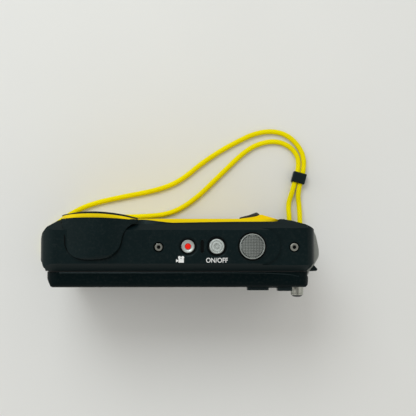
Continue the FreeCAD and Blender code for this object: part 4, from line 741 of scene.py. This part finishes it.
class BODY_OT_make(bpy.types.Operator):
    """Shell, cowl and rear cover with rounded moulded edges, and the seal between them"""
    bl_idname = "compact_camera.body"
    bl_label = "Body"

    def execute(self, context):
        edge = sizes().edge
        replaced("main_shell", "shell_skin", edge, "moulded black", "camera", upright=0.0013)
        # The rear cover gets the darker copy of the black as painted shade
        replaced("rear_cover", "cover_skin", edge, "cover black", "camera")
        paint(made("moulded black"), "lens_cowl")
        paint(made("seal"), "body_gasket", "button_seals", "door_gasket")
        self.seam()
        self.webs()
        self.lip()
        return {"FINISHED"}

    def webs(self):
        """The shell's front slope where it laps over the yellow strip and its two ends."""
        web("slope_by_cowl", [
            (3.0, -13.05, -12.75, 61.34, 61.72), (6.0, -13.3, -12.6, 61.36, 61.9),
            (9.0, -13.65, -12.5, 61.38, 62.0), (12.0, -14.05, -12.4, 61.4, 62.1),
            (14.5, -14.3, -12.4, 61.42, 62.1), (16.9, -14.3, -12.4, 61.46, 62.1),
            (17.7, -14.3, -12.4, 62.0, 62.45), (18.6, -14.34, -12.4, 63.2, 63.3),
            (19.4, -14.45, -12.4, 64.2, 64.15), (20.2, -14.4, -12.6, 64.8, 64.75),
            (21.0, -14.2, -13.0, 65.0, 64.95)])
        front_edge = [(3.0, -13.08), (-8.0, -13.27), (-22.9, -13.5), (-36.2, -13.56)]
        web("slope_along", [(x, y, -12.75, 61.36, 61.72) for x, y in front_edge])
        foot_y, foot_z, rise = -14.7, 59.53, 1.13
        end_edge = [(-36.2, -13.56), (-38.3, -13.56), (-39.6, -13.7), (-40.6, -13.95), (-41.5, -14.25),
                    (-42.3, -14.6), (-43.2, -14.72)]
        web("slope_at_end", [(x, y, -12.8, foot_z + (y - foot_y) * rise, 61.68) for x, y in end_edge])

    def lip(self):
        """The cover's top edge, which leans forward and shines."""
        width, drop, rise = 0.45, 0.05, 0.09
        edge = [(50.0, 7.27, 60.0), (-20.0, 7.27, 60.0), (-35.0, 7.45, 60.0), (-43.0, 7.85, 60.0),
                (-47.0, 8.3, 60.0), (-49.0, 8.8, 59.9)]
        web("cover_lip", [(x, y, y + width, z - drop, z + rise) for x, y, z in edge], "satin black")

    def seam(self):
        """Dark joint line round the foot of the cowl, down the shell's front slope."""
        foot = [(19.0, -12.8), (22.1, -10.45), (23.6, -7.35), (24.5, -3.45), (27.4, 0.25), (35.0, 2.1),
                (43.0, 0.95), (46.5, -2.65), (47.1, -7.45), (48.3, -12.2)]
        top_z, foot_y, foot_z, rise = 64.8, -14.7, 59.5, 5.3 / 4.7
        curve = bpy.data.curves.new("cowl_seam", "CURVE")
        curve.dimensions = "3D"
        curve.bevel_depth = 0.00022
        curve.bevel_resolution = 2
        spline = curve.splines.new("BEZIER")
        spline.bezier_points.add(len(foot) - 1)
        for point, (x, y) in zip(spline.bezier_points, foot):
            point.co = Vector((x, y, min(top_z, foot_z + (y - foot_y) * rise))) * MM
            point.handle_left_type = point.handle_right_type = "AUTO"
        show(placed("cowl_joint", mesh_of(curve)), made("slot"), "camera")


# Front

class FRONT_OT_make(bpy.types.Operator):
    """Yellow plate, grip pad, lens ring and window, flash and focus lamp"""
    bl_idname = "compact_camera.front"
    bl_label = "Front"

    def execute(self, context):
        replaced("front_plate", "plate_skin", sizes().edge * 0.8, "yellow", "camera")
        self.grip()
        self.lip()
        paint(made("satin black"), "lens_ring")
        paint(made("glass"), "lens_window")
        paint(made("coated glass"), "front_element", "prism")
        paint(made("frosted"), "flash_window")
        paint(made("chrome"), "flash_reflector")
        paint(made("smoked"), "focus_lamp")
        self.baffle()
        return {"FINISHED"}

    def baffle(self):
        """Stepped black funnel behind the lens window."""
        axis = middle("lens_ring")
        steps = [(10.4, 0.02), (10.4, 0.95), (6.5, 0.95), (6.5, 0.72), (7.5, 0.72), (7.5, 0.49), (8.5, 0.49),
                 (8.5, 0.26), (9.5, 0.26), (9.5, 0.02), (10.4, 0.02)]
        place = Vector((axis.x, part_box("lens_window")[1].y, axis.z))
        show(turned("lens_baffle", steps, place, (0, 1, 0)), made("satin black"), "camera")

    def grip(self):
        """Rubber pad, a little fuller than the CAD one towards the ridge, and its lap over the ridge."""
        sideways, forward, lead = 0.0008, 0.0009, 3
        low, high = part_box("grip_pad")
        pad = replaced("grip_pad", "grip_skin", 0.0003, "grip", "camera")
        for vert in pad.data.vertices:
            along = (high.x - vert.co.x) / (high.x - low.x)
            vert.co.x -= sideways * along
            vert.co.y -= forward * min(1.0, lead * along)
        top = 55.56
        rows = [(-24.9, -15.5, -15.16), (-27.4, -16.17, -15.28), (-29.5, -16.63, -15.58),
                (-31.2, -17.06, -15.87), (-32.2, -17.3, -16.15), (-32.7, -17.15, -16.4),
                (-33.1, -16.85, -16.65)]
        web("grip_lap", [(x, front, back, top, top) for x, front, back in rows], "grip", 3.2)

    def lip(self):
        """Black edge of the lens ring, which laps over the bowed front corner of the boss."""
        axis = middle("lens_ring")
        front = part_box("front_plate")[0].y
        bow = 0.075
        bow_x = axis.x + 0.0033
        inner, outer, straight = 0.01545, 0.01596, 0.0089
        ahead, behind = -0.00004, 0.00038
        bm = bmesh.new()
        loops = []
        for half, back in ((inner, ahead), (outer, ahead), (outer, behind), (inner, behind)):
            loops.append([bm.verts.new((x, front + bow - math.sqrt(bow * bow - (x - bow_x) ** 2) + back, z))
                          for x, z in round_square(axis, half, half - straight)])
        for a, b in zip(loops, loops[1:] + loops[:1]):
            wall(bm, a, b)
        show(mesh_piece("ring_lip", bm), made("satin black"), "camera")


# Controls on the top

def top_centre(node):
    """Middle of the top of a CAD node."""
    centre = middle(node)
    return Vector((centre.x, centre.y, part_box(node)[1].z))


class TOP_OT_make(bpy.types.Operator):
    """Knurled shutter button, spun power button, record button, lamp slot and printed marks"""
    bl_idname = "compact_camera.top_controls"
    bl_label = "Top controls"

    def execute(self, context):
        self.shutter()
        self.power()
        self.record()
        paint(made("slot"), "power_lamp")
        self.well_shade()
        self.springs()
        self.marks()
        return {"FINISHED"}

    def springs(self):
        """Each return spring, copied in steel with a mesh of its own."""
        for name, travel in (("shutter", 0.0010), ("power", 0.0007), ("record", 0.0007)):
            coil = placed(name + "_coil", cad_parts[name + "_spring"].data.copy())
            show(coil, made("steel"), "camera")
            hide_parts(name + "_spring")
            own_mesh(coil)

    def well_shade(self):
        """Painted shade: thin near-black rings on the top round the three buttons, where the dips they stand
        in fall into shadow.
        """
        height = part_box("main_shell")[1].z
        rims = []
        for node, inner, outer in (("shutter_button", 5.35, 5.85), ("power_button", 3.25, 3.85),
                                   ("record_button", 2.85, 3.35)):
            centre = middle(node)
            # Each ring is painted shade, lying just above the top round its button
            rims.append(turned("rim", [(inner, -0.3), (inner, 0.0), (outer, 0.012), (outer + 0.02, -0.1)],
                               Vector((centre.x, centre.y, height)), steps=80))
        show(merged("button_shade_rings", rims), made("slot"), "camera")

    def shutter(self):
        """Silver rim round a field of flat-topped squares on a dark floor; the floor's darkness is painted
        shade for the valleys between the squares.
        """
        paint(made("silver"), "shutter_button")
        top = top_centre("shutter_button")
        rim = [(5.1, -0.3), (5.1, -0.02), (4.98, 0.1), (4.86, 0.1), (4.76, 0.0), (4.76, -0.3)]
        show(turned("shutter_rim", rim, top, steps=96), made("silver"), "shutter")
        # Dark metal under the squares: painted shade for the valleys between them
        floor = turned("knurl_floor", [(4.77, -0.1), (4.77, 0.015), (0, 0.015)], top)
        show(floor, made("knurl floor"), "shutter")
        pitch = sizes().knurl
        reach = 0.00474
        corner = pitch * 0.36
        bm = bmesh.new()
        steps = int(reach / pitch) + 1
        for i in range(-steps, steps + 1):
            for j in range(-steps, steps + 1):
                x = i * pitch
                y = j * pitch
                if math.hypot(abs(x) + corner, abs(y) + corner) <= reach:
                    self.stud(bm, top + Vector((x, y, 0)), pitch)
        show(mesh_piece("shutter_knurl", bm), made("knurl"), "shutter")

    def stud(self, bm, place, pitch):
        """One flat-topped square of the knurl."""
        half, small, rise, sunk = pitch * 0.37, pitch * 0.33, pitch * 0.2, 0.00002
        square = ((-1, -1), (1, -1), (1, 1), (-1, 1))
        low = [bm.verts.new(place + Vector((a * half, b * half, -sunk))) for a, b in square]
        high = [bm.verts.new(place + Vector((a * small, b * small, rise))) for a, b in square]
        bm.faces.new(high)
        bm.faces.new(low)
        wall(bm, low, high)

    def power(self):
        """Dished face with turned rings."""
        paint(made("silver"), "power_button")
        dish = [(2.98, -0.2), (2.98, 0.0), (2.88, 0.07), (2.6, 0.075), (1.4, 0.03), (0, 0.02)]
        face = turned("power_face", dish, top_centre("power_button"), steps=96)
        show(face, made("spun"), "power")

    def record(self):
        """Silver ring with a red dome sunk in it."""
        paint(made("silver"), "record_button")
        paint(made("red"), "record_dot")
        top = top_centre("record_button")
        ring = [(2.6, -0.25), (2.6, 0.0), (2.45, 0.1), (1.75, 0.06), (1.42, -0.1), (1.35, -0.4)]
        show(turned("record_ring", ring, top, steps=80), made("silver"), "record")
        dome = [(1.3, -0.42), (1.22, -0.3), (0.9, -0.2), (0.5, -0.14), (0, -0.12)]
        show(turned("record_dome", dome, top, steps=48), made("red"), "record")

    def marks(self):
        """Printed switch lettering and a film-camera sign, as thin ink on the top."""
        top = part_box("main_shell")[1].z
        power = middle("power_button")
        record = middle("record_button")
        letters_back, sign_aside, sign_back, reel = 0.00575, 0.0031, 0.0055, 0.62
        letters = self.letters("ON/OFF", Vector((power.x, power.y + letters_back, top)))
        show(letters, made("white ink"), "camera")
        reels = [[(x + centre, y + 0.95) for x, y in regular(reel, 20)] for centre in (-0.35, 0.95)]
        body = [(-0.75, -1.1), (1.45, -1.1), (1.45, 0.4), (-0.75, 0.4)]
        horn = [(-1.75, -0.95), (-0.85, -0.5), (-0.85, -0.1), (-1.75, 0.3)]
        place = Vector((record.x + sign_aside, record.y + sign_back, top))
        sign = [flat_shape(outline, place, (-1, 0, 0), (0, -1, 0), INK) for outline in (*reels, body, horn)]
        show(merged("film_mark", sign), made("white ink"), "camera")

    def letters(self, words, place):
        """Bold narrow capitals that lie on the top and read from behind the camera."""
        capital_share = 0.70
        text = bpy.data.curves.new("letters", "FONT")
        text.body = words
        text.size = sizes().letter / capital_share
        text.align_x = "CENTER"
        text.align_y = "CENTER"
        text.extrude = 0.00001
        text.offset = 0.00004
        mesh = mesh_of(text)
        narrow = Matrix.Diagonal((0.86, 0.95, 1.0, 1.0))
        mesh.transform(Matrix.Translation(place) @ Matrix.Rotation(math.pi, 4, "Z") @ narrow)
        return placed("switch_letters", mesh)


# Screws, pins and tripod bush

class SCREWS_OT_make(bpy.types.Operator):
    """Steel of all screws and pins, and the brass tripod bush with its thread"""
    bl_idname = "compact_camera.fasteners"
    bl_label = "Screws, pins and tripod bush"

    def execute(self, context):
        paint(made("steel"), "case_screws", "cover_screws", "door_pin", "rocker_pin", "strap_pin",
              "guide_rods")
        self.sockets()
        paint(made("brass"), "tripod_socket")
        self.thread()
        return {"FINISHED"}

    def thread(self):
        """Grooves of the tripod bush."""
        outer, inner, start, end, turns = 3.16, 2.75, 0.25, 4.2, 4
        profile = [(outer, start)]
        for i in range(turns):
            z = start + i
            profile += [(inner, z + 0.42), (inner, z + 0.58), (outer, z + 1.0)]
        profile += [(outer + 0.01, end), (outer + 0.01, start), (outer, start)]
        axis = middle("tripod_socket")
        foot = Vector((axis.x, axis.y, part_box("tripod_socket")[0].z))
        show(turned("tripod_thread", profile, foot), made("brass"), "camera")

    def sockets(self):
        """Painted shade: near-black plates on the floors of the hexagon sockets, one per screw head, where
        the recess falls into shadow.
        """
        across_flats, depth, thick = 1.5, 0.00062, 0.00001
        hexagon = regular(across_flats / math.sqrt(3), 6)
        side = Vector((1, 0, 0))
        shade_plates = []
        for node, out in (("case_screws", Vector((0, 0, 1))), ("cover_screws", Vector((0, 1, 0)))):
            for head, facing in heads(node, out):
                # A near-black plate of painted shade in each recess
                shade_plates.append(flat_shape(hexagon, head - facing * depth, side, facing.cross(side), thick))
        show(merged("screw_socket_shade", shade_plates), made("slot"), "camera")


# Side door

class DOOR_OT_make(bpy.types.Operator):
    """Silver side door and its black latch"""
    bl_idname = "compact_camera.side_door"
    bl_label = "Side door"

    def execute(self, context):
        replaced("side_door", "door_skin", 0.00025, "door", "door",
                 crease=12.0, upright=0.0016)
        self.latch()
        return {"FINISHED"}

    def latch(self):
        """The latch, fuller than the CAD one where it stands proud of the door."""
        flush, blend, outward, rearward, forward = 0.0014, 0.001, 0.0012, 0.0003, 0.0015
        latch = replaced("door_latch", "latch_skin", 0.00012, "satin black", "latch")
        low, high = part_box("door_latch")
        for vert in latch.data.vertices:
            proud = min(1.0, max(0.0, (high.x - flush - vert.co.x) / blend))
            vert.co.x -= outward * proud
            vert.co.y += proud * (rearward if vert.co.y > (low.y + high.y) / 2 else -forward)


# Rear

class REAR_OT_make(bpy.types.Operator):
    """Display, keys with their signs, direction ring, zoom rocker and lock knob"""
    bl_idname = "compact_camera.rear"
    bl_label = "Rear controls"

    def execute(self, context):
        paint(made("gloss black"), "display_window", "mode_key", "delete_key", "play_key", "menu_key",
              "nav_ring", "ok_button", "nav_cross")
        paint(made("display"), "display_panel")
        replaced("zoom_rocker", "rocker_skin", 0.0003, "satin black", "rocker")
        self.knob()
        self.signs()
        return {"FINISHED"}

    def knob(self):
        """Ribbed metal collar with a black dome at its end."""
        paint(made("steel"), "lock_knob")
        paint(made("gloss black"), "knob_tip")
        axis = middle("lock_knob")
        foot = Vector((axis.x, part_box("knob_tip")[0].y, axis.z))
        ribs = [(2.0, -2.6), (2.75, -2.6), (2.75, -1.9), (2.6, -1.8), (2.6, -1.5), (2.75, -1.4), (2.75, -0.2),
                (2.6, 0.0), (2.6, 0.15), (2.72, 0.25), (2.66, 0.75), (2.3, 0.8)]
        show(turned("knob_ribs", ribs, foot, (0, 1, 0)), made("steel"), "knob")

    def signs(self):
        """Grey signs on the four keys, each as one or more outlines."""
        bars = [[(-1.0, z), (1.0, z), (1.0, z + 0.28), (-1.0, z + 0.28)] for z in (-0.85, -0.15, 0.55)]
        arrow = [(-0.7, -0.9), (0.95, 0.0), (-0.7, 0.9)]
        bucket = [[(-0.7, -1.0), (0.7, -1.0), (0.85, 0.45), (-0.85, 0.45)],
                  [(-1.0, 0.65), (1.0, 0.65), (1.0, 0.9), (-1.0, 0.9)],
                  [(-0.3, 0.95), (0.3, 0.95), (0.3, 1.15), (-0.3, 1.15)]]
        camera = [(-1.1, -0.8), (1.1, -0.8), (1.1, 0.5), (0.5, 0.5), (0.3, 0.85), (-0.3, 0.85), (-0.5, 0.5),
                  (-1.1, 0.5)]
        for name, outlines in (("menu", bars), ("play", [arrow]), ("delete", bucket), ("mode", [camera])):
            centre = middle(name + "_key")
            place = Vector((centre.x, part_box(name + "_key")[1].y, centre.z))
            plates = [flat_shape(outline, place, (-1, 0, 0), (0, 0, 1), INK) for outline in outlines]
            show(merged(name + "_sign", plates), made("grey ink"), name)


# Inner pieces

class INNER_OT_make(bpy.types.Operator):
    """Finishes of the pieces inside the body"""
    bl_idname = "compact_camera.inner"
    bl_label = "Inner pieces"

    def execute(self, context):
        paint(made("steel"), "inner_chassis", "card_slot", "usb_socket")
        paint(made("board"), "main_board", "top_board", "rear_board")
        paint(made("satin black"), "lens_housing", "battery_bay", "zoom_group", "focus_group")
        paint(made("sensor"), "image_sensor")
        paint(made("cell"), "battery")
        paint(made("card"), "memory_card")
        return {"FINISHED"}


# Add-on

OPERATORS = (STAGE_OT_make, STRAP_OT_make, BODY_OT_make, FRONT_OT_make, TOP_OT_make, SCREWS_OT_make,
             DOOR_OT_make, REAR_OT_make, INNER_OT_make)


class CAMERA_PT_pieces(bpy.types.Panel):
    """Lists the sizes, colours and pieces"""
    bl_idname = "CAMERA_PT_pieces"
    bl_label = "Compact camera"
    bl_space_type = "VIEW_3D"
    bl_region_type = "UI"
    bl_category = "Camera"

    def draw(self, context):
        for group in (context.scene.camera_looks, context.scene.camera_sizes):
            for name in group.bl_rna.properties.keys():
                if name not in ("rna_type", "name"):
                    self.layout.prop(group, name)
        for operator in OPERATORS:
            self.layout.operator(operator.bl_idname)


CLASSES = (CameraLooks, CameraSizes, *OPERATORS, CAMERA_PT_pieces)


def register():
    for made_class in CLASSES:
        bpy.utils.register_class(made_class)
    bpy.types.Scene.camera_looks = bpy.props.PointerProperty(type=CameraLooks)
    bpy.types.Scene.camera_sizes = bpy.props.PointerProperty(type=CameraSizes)


def unregister():
    del bpy.types.Scene.camera_sizes
    del bpy.types.Scene.camera_looks
    for made_class in reversed(CLASSES):
        bpy.utils.unregister_class(made_class)


def main():
    register()
    bpy.context.scene.view_settings.view_transform = "Standard"
    for operator in OPERATORS:
        name = operator.bl_idname.split(".")[1]
        getattr(bpy.ops.compact_camera, name)()


if __name__ == "__main__":
    main()
